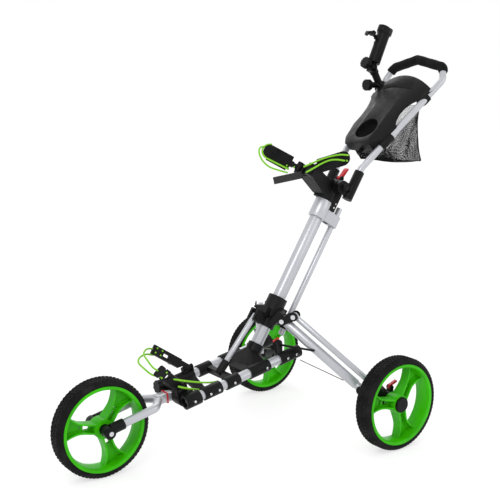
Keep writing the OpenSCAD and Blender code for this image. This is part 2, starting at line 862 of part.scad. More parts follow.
module bag_cords() {
    color(lime) for (route = [left_cord_upper, left_cord_lower, belt_high, belt_low,
        tie_high, tie_low]) cord(route, cord_d);
    // the loops round the right wing turn in the wing's own plane
    color(lime) for (route = [right_loop, right_outer_loop])
        cord(route, cord_d, on_right([0, 1, 0]) - on_right([0, 0, 0]));
}

// ---------------------------------------------------------------- fork and front wheel

square_tube = 24;
fork_slope = atan2(fork_pivot[2] - fork_crown[2], fork_pivot[1] - fork_crown[1]);
module at_fork() {
    translate(fork_pivot) rotate([fork_slope, 0, 0]) children();
}
fork_knee = [fork_x, -346, 161];
fork_foot = [fork_x, front_y + 8, wheel_r + 6];
module fork_tube() {
    color(light_tube) {
        for (s = [-1, 1]) on_side(s) bent_bar([fork_crown, fork_knee, fork_foot], fork_d, 22);
        translate(fork_crown) sphere(d = fork_d + joint_ball, $fn = 48);
        at_fork() translate([-square_tube / 2, -66, -square_tube / 2])
            cube([square_tube, 40, square_tube]);
        difference() {
            union() {
                cross_bar(fork_pivot, 26, tongue_w);
                at_fork() translate([-tongue_w / 2 + 1.5, -30, -11]) cube([tongue_w - 3, 30, 22]);
            }
            cross_bar(fork_pivot, pin_d + 2 * running_gap, 60);
        }
    }
}
module fork_ring() {
    ring_w = square_tube + 5;
    color(red) at_fork() translate([0, -36, 0]) difference() {
        translate([-ring_w / 2, -1.5, -ring_w / 2]) cube([ring_w, 3, ring_w]);
        translate([-square_tube / 2, -5, -square_tube / 2]) cube([square_tube, 10, square_tube]);
    }
}
module fork_clamps() {
    along = unit(fork_foot - fork_knee);
    color(black) for (s = [-1, 1]) on_side(s) difference() {
        union() {
            bar(fork_foot - 34 * along, fork_foot + 2 * along, fork_d + 6);
            translate([fork_x - 13, front_y, wheel_r]) rotate([0, 90, 0])
                cylinder(h = 26, d = 30);
        }
        bar(fork_foot - 60 * along, fork_foot, fork_d);
        cross_bar([0, front_y, wheel_r], axle_d, 200);
    }
}
module front_axle() {
    color(steel) cross_bar([0, front_y, wheel_r], axle_d, 2 * fork_x + 34);
}
module fork_knob() {
    color(black) translate(fork_pivot + [-36, -front_d / 2 - 1, 14]) rotate([90, 0, 0]) {
        translate([0, 0, -20]) cylinder(h = 22, d = pin_d);
        translate([0, 0, 1]) difference() {
            cylinder(h = 14, d = 34);
            for (a = [0 : 45 : 315]) rotate(a) translate([19.5, 0, -1]) cylinder(h = 16, d = 9);
        }
    }
}

// ---------------------------------------------------------------- handle

handle_root = from_column([collar_x, handle_root_r, 488]);
handle_bend = from_column([collar_x, handle_root_r, 583]);
module handle_tube() {
    color(light_tube) for (s = [-1, 1]) on_side(s) {
        bent_bar([handle_root, handle_bend, handle_shoulder, grip_corner, grip_apex],
            handle_d, 30);
        if (s > 0) translate(grip_apex) sphere(d = handle_d + joint_ball, $fn = 48);
    }
}
// The straight stretch of both sides of the handle
module straight_tubes(d) {
    for (s = [-1, 1]) on_side(s) bar(handle_bend, handle_shoulder, d);
}

grip_start = handle_shoulder + 0.62 * (grip_corner - handle_shoulder);
module grip_route(d) {
    for (s = [-1, 1]) on_side(s) bent_bar([grip_start, grip_corner, grip_apex], d, 20);
    translate(grip_apex) sphere(d = d + 2 * joint_ball, $fn = 48);
}
module handle_grip() {
    color(soft_black) grip_route(grip_d);
}

module handle_collars() {
    color(black) {
        for (s = [-1, 1]) on_side(s) difference() {
            union() {
                at_column() translate([collar_x, handle_root_r, 484])
                    cylinder(h = 88, d = handle_d + 9);
                hull() {
                    translate(hinge_point + [42.5, 0, 0]) rotate([0, 90, 0])
                        cylinder(h = 11, d = 38, center = true, $fn = hull_fn);
                    at_column() translate([collar_x - 4, handle_root_r - 4, 492])
                        cylinder(h = 34, d = 16, $fn = hull_fn);
                }
                translate(hinge_point + [47, 0, 0]) rotate([0, 90, 0])
                    cylinder(h = 7, d = 26);
            }
            bar(handle_root, handle_bend + 20 * unit(handle_bend - handle_root), handle_d);
            cross_bar(hinge_point, 12 + 2 * running_gap, 200);
        }
    }
}
module collar_knob() {
    color(black) {
        cross_bar(hinge_point, 12, 114);
        for (s = [-1, 1]) on_side(s) translate(hinge_point + [54.5, 0, 0]) rotate([0, 90, 0]) {
            cylinder(h = 8, d = 20);
            translate([0, 0, 8]) cylinder(h = 4, d1 = 20, d2 = 14);
        }
    }
}

// Red cam lever on top of the head casting
module handle_lever() {
    color(red) difference() {
        union() {
            cross_bar(lever_pin, 12, 12);
            translate(lever_pin) rotate([-55, 0, 0]) hull() {
                translate([-5, -3, 0]) cube([10, 7, 12]);
                translate([-8, -8, 30]) cube([16, 4, 6]);
            }
        }
        cross_bar(lever_pin, lever_pin_d + 2 * running_gap, 60);
    }
}

// Console: a crowned tray that grips the handle tubes
console_top_y = 122;
dome_h = 34;
console_bottom_y = -112;
crown_r = 262;
crown_top = 34;
hole_y = -56;
hole_r = 37;
function tube_x(y) = 118 - (170 - y) * 0.19;
module console_outline(grow) {
    top = console_top_y + grow;
    low = console_bottom_y - grow;
    side = 8 + grow;
    dome_points = [for (a = [-1 : 0.1 : 1]) [a * (tube_x(top) + side), top + dome_h * (1 - a * a)]];
    polygon(concat(
        [[tube_x(low) - 14 + grow, low], [-tube_x(low) + 14 - grow, low]],
        [[-tube_x(low) - side, low + 26], [-tube_x(60) - side, 60], [-tube_x(70) - side + 4, 70]],
        dome_points,
        [[tube_x(70) + side - 4, 70], [tube_x(60) + side, 60], [tube_x(low) + side, low + 26]]
    ));
}
module crown_solid(drop) {
    translate([0, 0, crown_top - crown_r]) rotate([90, 0, 0])
        cylinder(h = 400, r = crown_r - drop, center = true, $fn = 360);
}
module tube_lip(s, from, to) {
    a = [s * tube_x(from), from, 0];
    b = [s * tube_x(to), to, 0];
    bar(a, b, handle_d + 7);
}
module console() {
    color(black) difference() {
        at_handle() console_shell();
        // the tubes pass through
        straight_tubes(handle_d);
    }
}
module console_shell() {
    difference() {
        union() {
            intersection() {
                difference() {
                    intersection() {
                        crown_solid(0);
                        translate([0, 0, -4]) linear_extrude(60) console_outline(0);
                    }
                    intersection() {
                        crown_solid(4);
                        translate([0, 0, -60]) linear_extrude(120) console_outline(-4);
                    }
                }
                translate([-200, -200, -3]) cube([400, 400, 60]);
            }
            for (s = [-1, 1]) {
                tube_lip(s, 72, 104);
                tube_lip(s, -96, -52);
            }
            // ball and cup ring
            translate([0, hole_y, -14]) cylinder(h = 45, r = hole_r + 4);
            translate([-6, console_bottom_y - 16, -2]) cube([12, 18, 8]);
        }
        translate([0, hole_y, -20]) cylinder(h = 80, r = hole_r);
        // shallow line of the score card slot
        translate([-58, 105, 20]) cube([116, 3, 30]);
        clamp_ring_in_handle();
        // finger gaps beside the tubes
        for (s = [-1, 1]) translate([s * (tube_x(16) + 78), 16, -40]) cylinder(h = 100, r = 92);
    }
}
module clamp_ring_in_handle() {
    bar([-tube_x(clamp_from - 1), clamp_from - 1, 0], [-tube_x(clamp_to + 4), clamp_to + 4, 0],
        clamp_ring_d + 1);
}
// Net pocket under the console, open towards it
bag_wall = 3;
module bag_side(inset) {
    polygon([
        [404 + inset, 782 + inset * 0.5], [532 - inset, 910 - inset * 1.5],
        [546 - inset, 742 + inset], [440 + inset, 742 + inset]
    ]);
}
module mesh_bag() {
    half = 76;
    color(soft_black) difference() {
        translate([half, 0, 0]) rotate([90, 0, -90]) mirror([1, 0, 0])
            linear_extrude(2 * half) bag_side(0);
        translate([half - bag_wall, 0, 0]) rotate([90, 0, -90]) mirror([1, 0, 0])
            linear_extrude(2 * half - 2 * bag_wall) union() {
                bag_side(bag_wall);
                polygon([[412, 784], [530, 902], [500, 940], [380, 820]]);
            }
    }
}

// ---------------------------------------------------------------- umbrella holder

clamp_from = 128;
clamp_to = 152;
clamp_ring_d = handle_d + 14;
post_foot = [-113, 548, 960];
post_top = [-112, 524, 998];
spigot_d = 10;
umbrella_lean = 24.4;
umbrella_hinge = [-112, 513, 1017];
sleeve_d = 38;
sleeve_from = 13;
sleeve_to = 128;
wing_z = 86;

// Umbrella frame: +Z runs up the sleeve, the tilt hinge lies along Y
module at_umbrella() {
    translate(umbrella_hinge) rotate([-umbrella_lean, 0, 0]) children();
}
module along_y(from, to, d) {
    translate([0, from, 0]) rotate([-90, 0, 0]) cylinder(h = to - from, d = d);
}
module clamp_ring(d) {
    at_handle() bar([-tube_x(clamp_from), clamp_from, 0], [-tube_x(clamp_to), clamp_to, 0], d);
}
clamp_knob_foot = [-113, 530, 963];
module umbrella_clamp() {
    color(black) difference() {
        union() {
            clamp_ring(clamp_ring_d);
            bar(post_foot, post_top, 22);
            bar(post_top, post_top + 9.5 * unit(post_top - post_foot), spigot_d);
            translate(clamp_knob_foot) along_y(-22, 10, 18);
        }
        straight_tubes(handle_d);
        translate(clamp_knob_foot) along_y(-60, 0, pin_d + 2 * running_gap);
    }
}
// Round knurled knob on a stem that points along +Y
module round_knob(stem) {
    difference() {
        along_y(-15, 0, 34);
        for (a = [0 : 30 : 330]) rotate([0, a, 0]) translate([18.5, 0, 0]) along_y(-20, 5, 6);
    }
    along_y(0, stem, pin_d);
}
module umbrella_knob() {
    color(black) translate(clamp_knob_foot + [0, -26, 0]) round_knob(24);
}
module umbrella_swivel() {
    color(black) difference() {
        union() {
            aim(post_top, 2 * post_top - post_foot) translate([0, 0, free_gap])
                cylinder(h = 9.6, d = 26);
            at_umbrella() for (y = [-10, 6]) {
                along_y(y, y + 4, 24);
                translate([-9, y, -16]) cube([18, 4, 16]);
            }
            at_umbrella() translate([-9, -10, -17]) cube([18, 20, 5]);
        }
        bar(post_foot, post_top + 10.2 * unit(post_top - post_foot), spigot_d + 2 * running_gap);
        at_umbrella() along_y(-60, 60, pin_d + 2 * running_gap);
        bar(post_foot, post_top + free_gap * unit(post_top - post_foot), 40);
    }
}
module swivel_knob() {
    color(black) at_umbrella() translate([0, -20.5, 0]) round_knob(31.5);
}
module umbrella_holder() {
    color(black) at_umbrella() difference() {
        union() {
            along_y(-5.6, 5.6, 22);
            translate([-8, -5.6, 0]) cube([16, 11.2, sleeve_from + 2]);
            translate([0, 0, sleeve_from]) cylinder(h = sleeve_to - sleeve_from - 20, d = sleeve_d);
            translate([0, 0, sleeve_to - 26]) cylinder(h = 8, d1 = sleeve_d, d2 = sleeve_d + 6,
                $fn = fine);
            for (y = [-7, 7]) translate([0, y, sleeve_to - 18]) cylinder(h = 18, d = sleeve_d - 2);
            translate([0, 0, sleeve_to - 22]) cylinder(h = 20, d = sleeve_d + 2);
            translate([0, 0, wing_z]) along_y(-26, 0, 16);
            translate([0, 0, wing_z - 16]) along_y(-22, 0, 10);
        }
        translate([0, 0, sleeve_from + 6]) cylinder(h = 200, d = umbrella_bore_d);
        translate([0, 0, wing_z]) along_y(-60, 0, pin_d + 2 * running_gap);
        along_y(-60, 60, pin_d + 2 * running_gap);
    }
}
module wing_screw() {
    color(black) at_umbrella() translate([0, 0, wing_z]) {
        along_y(-50, -umbrella_bore_d / 2, pin_d);
        for (s = [-1, 1]) translate([s * 9, -52, 0]) rotate([0, 0, s * 15]) {
            translate([-7, -3, -5]) cube([14, 5, 10]);
            translate([s * 6, 2, 0]) along_y(-6, 1, 14);
        }
        along_y(-54, -44, 12);
    }
}

// ---------------------------------------------------------------- fasteners

// Rivets that fix the castings to the tubes: [casting radius, station] along a rail
rail_rivets = [
    [rail_d / 2 + 4, 0], [rail_d / 2 + 4, 27], [rail_d / 2 + 4, 77], [rail_d / 2 + 4, 184],
    [rail_d / 2 + 4, 256], [rail_d / 2 + 4, 286], [rail_d / 2 + 6, -50]
];
module frame_fasteners() {
    color(steel) {
        for (s = [-1, 1], v = rail_rivets) on_side(s) at_rails()
            translate([rail_x + v[0], v[1], 0]) rotate([0, 90, 0]) rivet();
        for (s = [-1, 1], z = [48, 60]) on_side(s) at_column()
            translate([17, 30, collar_s + z]) rotate([0, 90, 0]) rivet(6, 2);
        // bolts of the legs and links, and the bolt through the fork hinge
        for (s = [-1, 1]) on_side(s) leg_pins(leg_pin, link_pin);
        cross_bar(fork_pivot, pin_d, 100);
    }
}

// ---------------------------------------------------------------- draw list

column_tube();
rail(1);  // rail_left
rail(-1);  // rail_right
brace_tube();
hub_bracket();
elbow_casting();
brace_clamp();
front_block();
rail_end_brackets();
head_casting();
guide_collar();
upper_saddle();
lower_saddle();
frame_fasteners();
bag_strap();
bag_cords();
push_rod();
fork_tube();
fork_clamps();
front_axle();
fork_ring();
fork_knob();
wheel_at([0, front_y, wheel_r]) tyre();  // front_tyre
wheel_at([0, front_y, wheel_r]) rim();  // front_rim
wheel_at([0, front_y, wheel_r]) hub_fittings(0);  // front_hub
on_side(1) leg_tube();  // leg_left
on_side(-1) leg_tube();  // leg_right
on_side(1) link_rod();  // link_left
on_side(-1) link_rod();  // link_right
on_side(1) carrier();  // carrier_left
on_side(-1) carrier();  // carrier_right
on_side(1) axle();  // axle_left
on_side(-1) axle();  // axle_right
rear_wheel_at(1) tyre();  // tyre_left
rear_wheel_at(-1) tyre();  // tyre_right
rear_wheel_at(1) rim();  // rim_left
rear_wheel_at(-1) rim();  // rim_right
rear_wheel_at(1) hub_fittings(1);  // hub_left
rear_wheel_at(-1) hub_fittings(1);  // hub_right
on_side(1) stays();  // stays_left
on_side(-1) stays();  // stays_right
on_side(1) brake_lever();  // brake_lever_left
on_side(-1) brake_lever();  // brake_lever_right
handle_tube();
handle_grip();
handle_collars();
collar_knob();
handle_lever();
console();
mesh_bag();
umbrella_clamp();
umbrella_knob();
umbrella_swivel();
swivel_knob();
umbrella_holder();
wing_screw();
upper_arm_left();
upper_arm_right();
lower_arm_left();
lower_arm_right();
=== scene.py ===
"""Looks of the three-wheel golf push trolley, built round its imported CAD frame."""

import json
import math

import bmesh
import bpy
from mathutils import Matrix, Vector
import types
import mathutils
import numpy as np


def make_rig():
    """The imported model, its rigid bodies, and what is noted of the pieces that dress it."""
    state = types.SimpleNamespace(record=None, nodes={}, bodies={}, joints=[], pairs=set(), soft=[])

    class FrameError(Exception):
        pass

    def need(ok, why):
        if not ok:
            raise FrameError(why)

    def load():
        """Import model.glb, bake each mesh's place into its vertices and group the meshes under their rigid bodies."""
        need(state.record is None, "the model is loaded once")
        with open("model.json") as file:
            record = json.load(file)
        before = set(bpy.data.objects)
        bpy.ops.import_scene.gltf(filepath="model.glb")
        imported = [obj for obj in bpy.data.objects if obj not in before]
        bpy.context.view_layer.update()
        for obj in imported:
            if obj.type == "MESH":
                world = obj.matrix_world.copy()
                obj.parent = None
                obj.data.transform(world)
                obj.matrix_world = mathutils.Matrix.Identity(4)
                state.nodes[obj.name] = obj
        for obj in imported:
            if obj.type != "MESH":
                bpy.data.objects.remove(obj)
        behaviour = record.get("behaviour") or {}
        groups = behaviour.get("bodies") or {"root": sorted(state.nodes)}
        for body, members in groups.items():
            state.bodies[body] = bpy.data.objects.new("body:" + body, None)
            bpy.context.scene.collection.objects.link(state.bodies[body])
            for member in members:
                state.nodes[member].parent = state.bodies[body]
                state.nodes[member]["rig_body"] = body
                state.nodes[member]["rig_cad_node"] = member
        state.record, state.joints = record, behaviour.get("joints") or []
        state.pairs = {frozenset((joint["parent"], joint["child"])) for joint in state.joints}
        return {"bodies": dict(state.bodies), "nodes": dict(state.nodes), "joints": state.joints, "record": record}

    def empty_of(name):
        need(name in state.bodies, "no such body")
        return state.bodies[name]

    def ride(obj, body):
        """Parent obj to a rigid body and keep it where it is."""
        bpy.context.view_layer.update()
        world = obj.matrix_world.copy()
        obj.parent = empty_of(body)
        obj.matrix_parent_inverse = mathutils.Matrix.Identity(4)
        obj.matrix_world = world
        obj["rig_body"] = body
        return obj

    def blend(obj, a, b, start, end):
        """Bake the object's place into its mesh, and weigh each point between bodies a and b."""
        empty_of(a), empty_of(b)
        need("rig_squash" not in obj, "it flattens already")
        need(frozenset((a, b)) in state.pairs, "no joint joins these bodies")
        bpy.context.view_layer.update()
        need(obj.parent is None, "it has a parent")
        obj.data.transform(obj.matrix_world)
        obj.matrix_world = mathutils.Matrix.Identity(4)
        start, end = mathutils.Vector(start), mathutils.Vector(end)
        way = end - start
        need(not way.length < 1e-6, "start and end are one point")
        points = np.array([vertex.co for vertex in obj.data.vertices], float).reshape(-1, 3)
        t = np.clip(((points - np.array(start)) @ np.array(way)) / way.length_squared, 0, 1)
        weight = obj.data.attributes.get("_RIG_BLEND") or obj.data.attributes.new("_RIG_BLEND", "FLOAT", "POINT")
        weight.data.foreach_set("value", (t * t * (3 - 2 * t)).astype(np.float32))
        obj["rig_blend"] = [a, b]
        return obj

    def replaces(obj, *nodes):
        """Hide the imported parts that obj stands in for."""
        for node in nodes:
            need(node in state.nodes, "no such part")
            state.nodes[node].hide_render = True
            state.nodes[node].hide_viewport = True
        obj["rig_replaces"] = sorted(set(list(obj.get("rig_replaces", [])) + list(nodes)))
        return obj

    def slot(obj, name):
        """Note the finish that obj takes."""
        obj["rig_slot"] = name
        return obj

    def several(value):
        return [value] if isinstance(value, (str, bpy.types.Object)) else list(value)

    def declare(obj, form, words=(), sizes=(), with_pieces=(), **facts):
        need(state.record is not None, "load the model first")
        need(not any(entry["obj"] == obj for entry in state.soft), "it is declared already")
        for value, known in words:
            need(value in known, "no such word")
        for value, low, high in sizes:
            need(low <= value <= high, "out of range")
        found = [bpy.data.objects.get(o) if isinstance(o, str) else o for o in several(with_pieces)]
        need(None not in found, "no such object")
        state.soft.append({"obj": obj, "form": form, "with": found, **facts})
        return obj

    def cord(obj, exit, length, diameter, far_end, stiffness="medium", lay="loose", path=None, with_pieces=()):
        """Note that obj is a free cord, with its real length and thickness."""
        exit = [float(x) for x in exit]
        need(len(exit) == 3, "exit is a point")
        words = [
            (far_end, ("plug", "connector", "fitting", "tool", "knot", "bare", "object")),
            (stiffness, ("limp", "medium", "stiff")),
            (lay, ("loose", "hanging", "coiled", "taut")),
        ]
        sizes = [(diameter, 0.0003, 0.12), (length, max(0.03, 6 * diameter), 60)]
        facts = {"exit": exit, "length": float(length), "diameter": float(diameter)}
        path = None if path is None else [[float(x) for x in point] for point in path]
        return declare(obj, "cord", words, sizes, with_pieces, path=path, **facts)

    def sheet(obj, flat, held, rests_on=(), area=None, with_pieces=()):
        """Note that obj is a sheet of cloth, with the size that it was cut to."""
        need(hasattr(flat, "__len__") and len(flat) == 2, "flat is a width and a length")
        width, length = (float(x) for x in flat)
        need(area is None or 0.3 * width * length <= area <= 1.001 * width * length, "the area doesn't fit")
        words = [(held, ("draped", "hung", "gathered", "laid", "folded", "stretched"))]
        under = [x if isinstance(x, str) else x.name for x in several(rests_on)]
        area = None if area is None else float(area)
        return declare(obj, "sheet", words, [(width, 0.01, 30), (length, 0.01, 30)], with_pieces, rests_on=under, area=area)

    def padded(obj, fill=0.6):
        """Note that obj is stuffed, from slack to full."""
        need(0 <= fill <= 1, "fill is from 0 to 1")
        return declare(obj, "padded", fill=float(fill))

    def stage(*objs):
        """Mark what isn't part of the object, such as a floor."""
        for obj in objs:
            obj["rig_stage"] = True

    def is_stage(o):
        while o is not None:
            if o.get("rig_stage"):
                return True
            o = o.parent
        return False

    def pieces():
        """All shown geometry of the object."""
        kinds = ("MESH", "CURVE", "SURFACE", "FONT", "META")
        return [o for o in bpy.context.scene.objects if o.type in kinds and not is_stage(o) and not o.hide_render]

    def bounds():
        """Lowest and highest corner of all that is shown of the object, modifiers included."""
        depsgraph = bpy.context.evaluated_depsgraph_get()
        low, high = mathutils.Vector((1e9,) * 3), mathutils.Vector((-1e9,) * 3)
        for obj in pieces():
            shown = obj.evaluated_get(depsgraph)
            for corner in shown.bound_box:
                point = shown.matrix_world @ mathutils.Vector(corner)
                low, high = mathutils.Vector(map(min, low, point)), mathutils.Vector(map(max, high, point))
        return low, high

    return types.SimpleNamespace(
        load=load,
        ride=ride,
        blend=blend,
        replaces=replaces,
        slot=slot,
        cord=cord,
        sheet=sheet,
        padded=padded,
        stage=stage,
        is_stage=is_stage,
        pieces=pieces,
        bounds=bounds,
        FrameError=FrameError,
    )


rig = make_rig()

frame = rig.load()
cad_box = [list(corner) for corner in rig.bounds()]
nodes = frame["nodes"]

SIDES = ("left", "right")


def side_sign(side):
    return 1 if side == "left" else -1


# ------------------------------------------------------------------ camera

CAMERA_AT = Vector((2.0039, -1.4630, 0.9699))
CAMERA_AIM = Vector((0.0286, -0.0433, 0.5329))
CAMERA_LENS = 67.05
SENSOR_WIDTH = 36
CLIP_END = 50


def make_camera():
    data = bpy.data.cameras.new("camera")
    data.lens = CAMERA_LENS
    data.sensor_width = SENSOR_WIDTH
    data.clip_end = CLIP_END
    camera = bpy.data.objects.new("camera", data)
    bpy.context.scene.collection.objects.link(camera)
    camera.location = CAMERA_AT
    camera.rotation_euler = (CAMERA_AIM - CAMERA_AT).to_track_quat("-Z", "Y").to_euler()
    bpy.context.scene.camera = camera


make_camera()

# ------------------------------------------------------------------ places, in metres

WHEEL_R = 0.127
REAR_Y = 0.244
FRONT_Y = -0.480
HUB_X = 0.297

COLUMN_FOOT = Vector((0, -0.007, 0.252))
COLUMN_ANGLE = math.radians(58.2)
RAIL_FRONT = Vector((0, -0.206, 0.1815))
RAIL_ANGLE = math.radians(11.5)


def from_column(x, back, up):
    """A point of the column frame: back is square behind the column, up runs along it."""
    sine, cosine = math.sin(COLUMN_ANGLE), math.cos(COLUMN_ANGLE)
    return COLUMN_FOOT + Vector((x, back * sine + up * cosine, up * sine - back * cosine))


def from_rails(x, along, above):
    """A point of the rails' frame: along runs back along them, above is square to them."""
    sine, cosine = math.sin(RAIL_ANGLE), math.cos(RAIL_ANGLE)
    return RAIL_FRONT + Vector((x, along * cosine - above * sine, along * sine + above * cosine))


WING_PIN = Vector((0.024, -0.112, 0.5005))
# (sign of x, turn, lift, reach, height) of the two padded wings
WINGS = {"right": (-1, math.radians(234), math.radians(3), 0.110, 0.040),
         "left": (1, math.radians(20), math.radians(33), 0.118, 0.042)}


def wing_pin(side):
    """The middle of a wing's pin, in the column's frame."""
    return Vector((WINGS[side][0] * WING_PIN.x, WING_PIN.y, WING_PIN.z))


def on_wing(side, out, off, above):
    """A point of a wing's frame: out along it, off its face, above its middle line."""
    turn, lift = WINGS[side][1:3]
    p = wing_pin(side)
    p += out * Vector((math.cos(turn) * math.cos(lift), math.sin(turn) * math.cos(lift),
                       math.sin(lift)))
    p += off * Vector((-math.sin(turn), math.cos(turn), 0))
    p += above * Vector((-math.cos(turn) * math.sin(lift), -math.sin(turn) * math.sin(lift),
                         math.cos(lift)))
    return from_column(*p)


# (pin, turn, lean) of the two lower arms, in the rails' frame
LOWER_ARMS = {"right": (Vector((-0.062, 0.024, 0.0255)), math.radians(-22), math.radians(42)),
              "left": (Vector((0.044, -0.062, 0.036)), math.radians(22), math.radians(38))}


def on_lower_arm(side, thick, wide, up):
    """A point of a lower arm's frame: through its thickness, across it, up along it."""
    pin, turn, lean = LOWER_ARMS[side]
    p = Matrix.Rotation(turn, 3, "Y") @ Matrix.Rotation(lean, 3, "X") @ Vector((thick, wide, up))
    return from_rails(*(pin + p))


# ------------------------------------------------------------------ materials


class Shader:
    """A node material under construction: a Principled shader and what feeds it."""

    def __init__(self, name, color, roughness, metallic=0.0, **constants):
        self.material = bpy.data.materials.new(name)
        self.material.use_nodes = True
        self.tree = self.material.node_tree
        self.bsdf = self.tree.nodes["Principled BSDF"]
        self.bsdf.inputs["Base Color"].default_value = (*color, 1)
        self.bsdf.inputs["Roughness"].default_value = roughness
        self.bsdf.inputs["Metallic"].default_value = metallic
        for socket, value in constants.items():
            self.bsdf.inputs[socket.replace("_", " ")].default_value = value
        self.height = None

    def node(self, kind, inputs=(), **settings):
        """A shader node: inputs maps sockets to values or links, settings are its properties."""
        made = self.tree.nodes.new(kind)
        for key, value in settings.items():
            setattr(made, key, value)
        for socket, value in dict(inputs).items():
            if isinstance(value, bpy.types.NodeSocket):
                self.tree.links.new(value, made.inputs[socket])
            else:
                made.inputs[socket].default_value = value
        return made

    def place(self):
        return self.node("ShaderNodeTexCoord").outputs["Object"]

    def noise(self, scale, detail):
        made = self.node("ShaderNodeTexNoise", {
            "Vector": self.place(), "Scale": scale, "Detail": detail})
        return made.outputs["Fac"]

    def ramp(self, value, low, high, start=0.3, end=0.7):
        """Maps value from start..end to low..high."""
        made = self.node("ShaderNodeMapRange", {
            "Value": value, "From Min": start, "From Max": end, "To Min": low, "To Max": high})
        return made.outputs["Result"]

    def mix_color(self, value, first, second):
        made = self.node("ShaderNodeMix", {"Factor": value}, data_type="RGBA")
        for socket, shade in (("A", first), ("B", second)):
            target = [s for s in made.inputs if s.name == socket and s.type == "RGBA"][0]
            if isinstance(shade, bpy.types.NodeSocket):
                self.tree.links.new(shade, target)
            else:
                target.default_value = (*shade, 1)
        return [s for s in made.outputs if s.type == "RGBA"][0]

    def set_color(self, socket):
        self.tree.links.new(socket, self.bsdf.inputs["Base Color"])

    def set_roughness(self, socket):
        self.tree.links.new(socket, self.bsdf.inputs["Roughness"])

    def bump(self, height, strength, distance):
        """Adds a bump on top of the ones before it."""
        made = self.node("ShaderNodeBump", {
            "Height": height, "Strength": strength, "Distance": distance})
        if self.height is not None:
            self.tree.links.new(self.height, made.inputs["Normal"])
        self.height = made.outputs["Normal"]
        self.tree.links.new(self.height, self.bsdf.inputs["Normal"])

    def edges(self, low=0.52, high=0.60):
        """1 along worn convex edges, 0 elsewhere."""
        where = self.node("ShaderNodeNewGeometry")
        return self.ramp(where.outputs["Pointiness"], 0.0, 1.0, low, high)


def shade(color, factor):
    return tuple(min(1.0, c * factor) for c in color)


def moulded(name, color, roughness, grain=900, depth=0.00006, worn=1.9, **constants):
    """Moulded plastic: fine grain, faint flow marks, lighter where the edges rub."""
    made = Shader(name, color, roughness, **{"Specular_IOR_Level": 0.16, **constants})
    cloud = made.noise(14, 3)
    base = made.mix_color(made.ramp(cloud, 0, 1), shade(color, 0.82), shade(color, 1.2))
    made.set_color(made.mix_color(made.edges(0.55, 0.68), base, shade(color, worn)))
    made.set_roughness(made.ramp(made.noise(60, 5), roughness - 0.06, roughness + 0.09))
    made.bump(made.noise(grain, 2), 0.35, depth)
    return made.material


def brushed(name, color, roughness, metallic, grain=260, depth=0.00002, **constants):
    """Metal or its satin coat: near even colour, small changes of roughness, fine grain."""
    made = Shader(name, color, roughness, metallic, **constants)
    cloud = made.noise(9, 3)
    made.set_color(made.mix_color(made.ramp(cloud, 0, 1), shade(color, 0.94), shade(color, 1.04)))
    made.set_roughness(made.ramp(made.noise(grain, 4), roughness - 0.05, roughness + 0.07))
    made.bump(made.noise(grain * 4, 3), 0.25, depth)
    return made.material


def tyre_rubber():
    """Black rubber with grey dust in patches."""
    made = Shader("tyre_rubber", (0.012, 0.012, 0.013), 0.74, Specular_IOR_Level=0.14)
    dust = made.ramp(made.noise(26, 6), 0, 1, 0.42, 0.68)
    made.set_color(made.mix_color(dust, (0.004, 0.004, 0.0045), (0.013, 0.0125, 0.012)))
    made.set_roughness(made.ramp(made.noise(90, 4), 0.62, 0.86))
    made.bump(made.noise(1500, 3), 0.5, 0.00008)
    return made.material


def foam():
    """Closed-cell foam with fine pores."""
    made = Shader("grip_foam", (0.012, 0.012, 0.013), 0.88, Specular_IOR_Level=0.14)
    pores = made.node("ShaderNodeTexVoronoi", {"Vector": made.place(), "Scale": 1300})
    made.set_color(made.mix_color(made.ramp(made.noise(40, 4), 0, 1),
                                  (0.004, 0.004, 0.0045), (0.011, 0.011, 0.012)))
    made.bump(pores.outputs["Distance"], 0.6, 0.00018)
    made.bump(made.noise(120, 3), 0.3, 0.0002)
    return made.material


def braid(name, color, accent, around, along):
    """Two crossing diagonal ribs in the piece's own UVs: a braided sleeve."""
    made = Shader(name, color, 0.62)
    where = made.node("ShaderNodeTexCoord")
    waves = []
    for lean in (1, -1):
        turned = made.node("ShaderNodeMapping", {
            "Vector": where.outputs["UV"], "Scale": (along, around * lean, 1)})
        split = made.node("ShaderNodeSeparateXYZ", {"Vector": turned.outputs[0]})
        total = made.node("ShaderNodeMath", {0: split.outputs[0], 1: split.outputs[1]},
                          operation="ADD")
        wave = made.node("ShaderNodeMath", {0: total.outputs[0], 1: 2 * math.pi},
                         operation="MULTIPLY")
        waves.append(made.node("ShaderNodeMath", {0: wave.outputs[0]},
                               operation="SINE").outputs[0])
    weave = made.node("ShaderNodeMath", {0: waves[0], 1: waves[1]}, operation="MULTIPLY")
    height = made.ramp(weave.outputs[0], 0, 1, -1, 1)
    made.set_color(made.mix_color(height, accent, color))
    made.bump(height, 0.7, 0.0003)
    return made.material


def webbing():
    """A woven strap: ribs across its width and length, in its own UVs."""
    made = Shader("strap_webbing", (0.020, 0.020, 0.022), 0.80)
    where = made.node("ShaderNodeTexCoord")
    ribs = made.node("ShaderNodeTexWave", {
        "Vector": where.outputs["UV"], "Scale": 26, "Distortion": 0.4})
    cross = made.node("ShaderNodeTexWave", {
        "Vector": where.outputs["UV"], "Scale": 60}, bands_direction="Y")
    both = made.node("ShaderNodeMath", {0: ribs.outputs["Fac"], 1: cross.outputs["Fac"]},
                     operation="MULTIPLY")
    made.set_color(made.mix_color(both.outputs[0], (0.012, 0.012, 0.013), (0.034, 0.034, 0.037)))
    made.bump(both.outputs[0], 0.6, 0.0004)
    return made.material


def yarn():
    """The dark yarn of the net."""
    made = Shader("net_yarn", (0.008, 0.008, 0.009), 0.85, Specular_IOR_Level=0.1)
    made.set_color(made.mix_color(made.ramp(made.noise(500, 3), 0, 1),
                                  (0.005, 0.005, 0.006), (0.014, 0.014, 0.016)))
    made.bump(made.noise(2600, 2), 0.5, 0.0001)
    return made.material


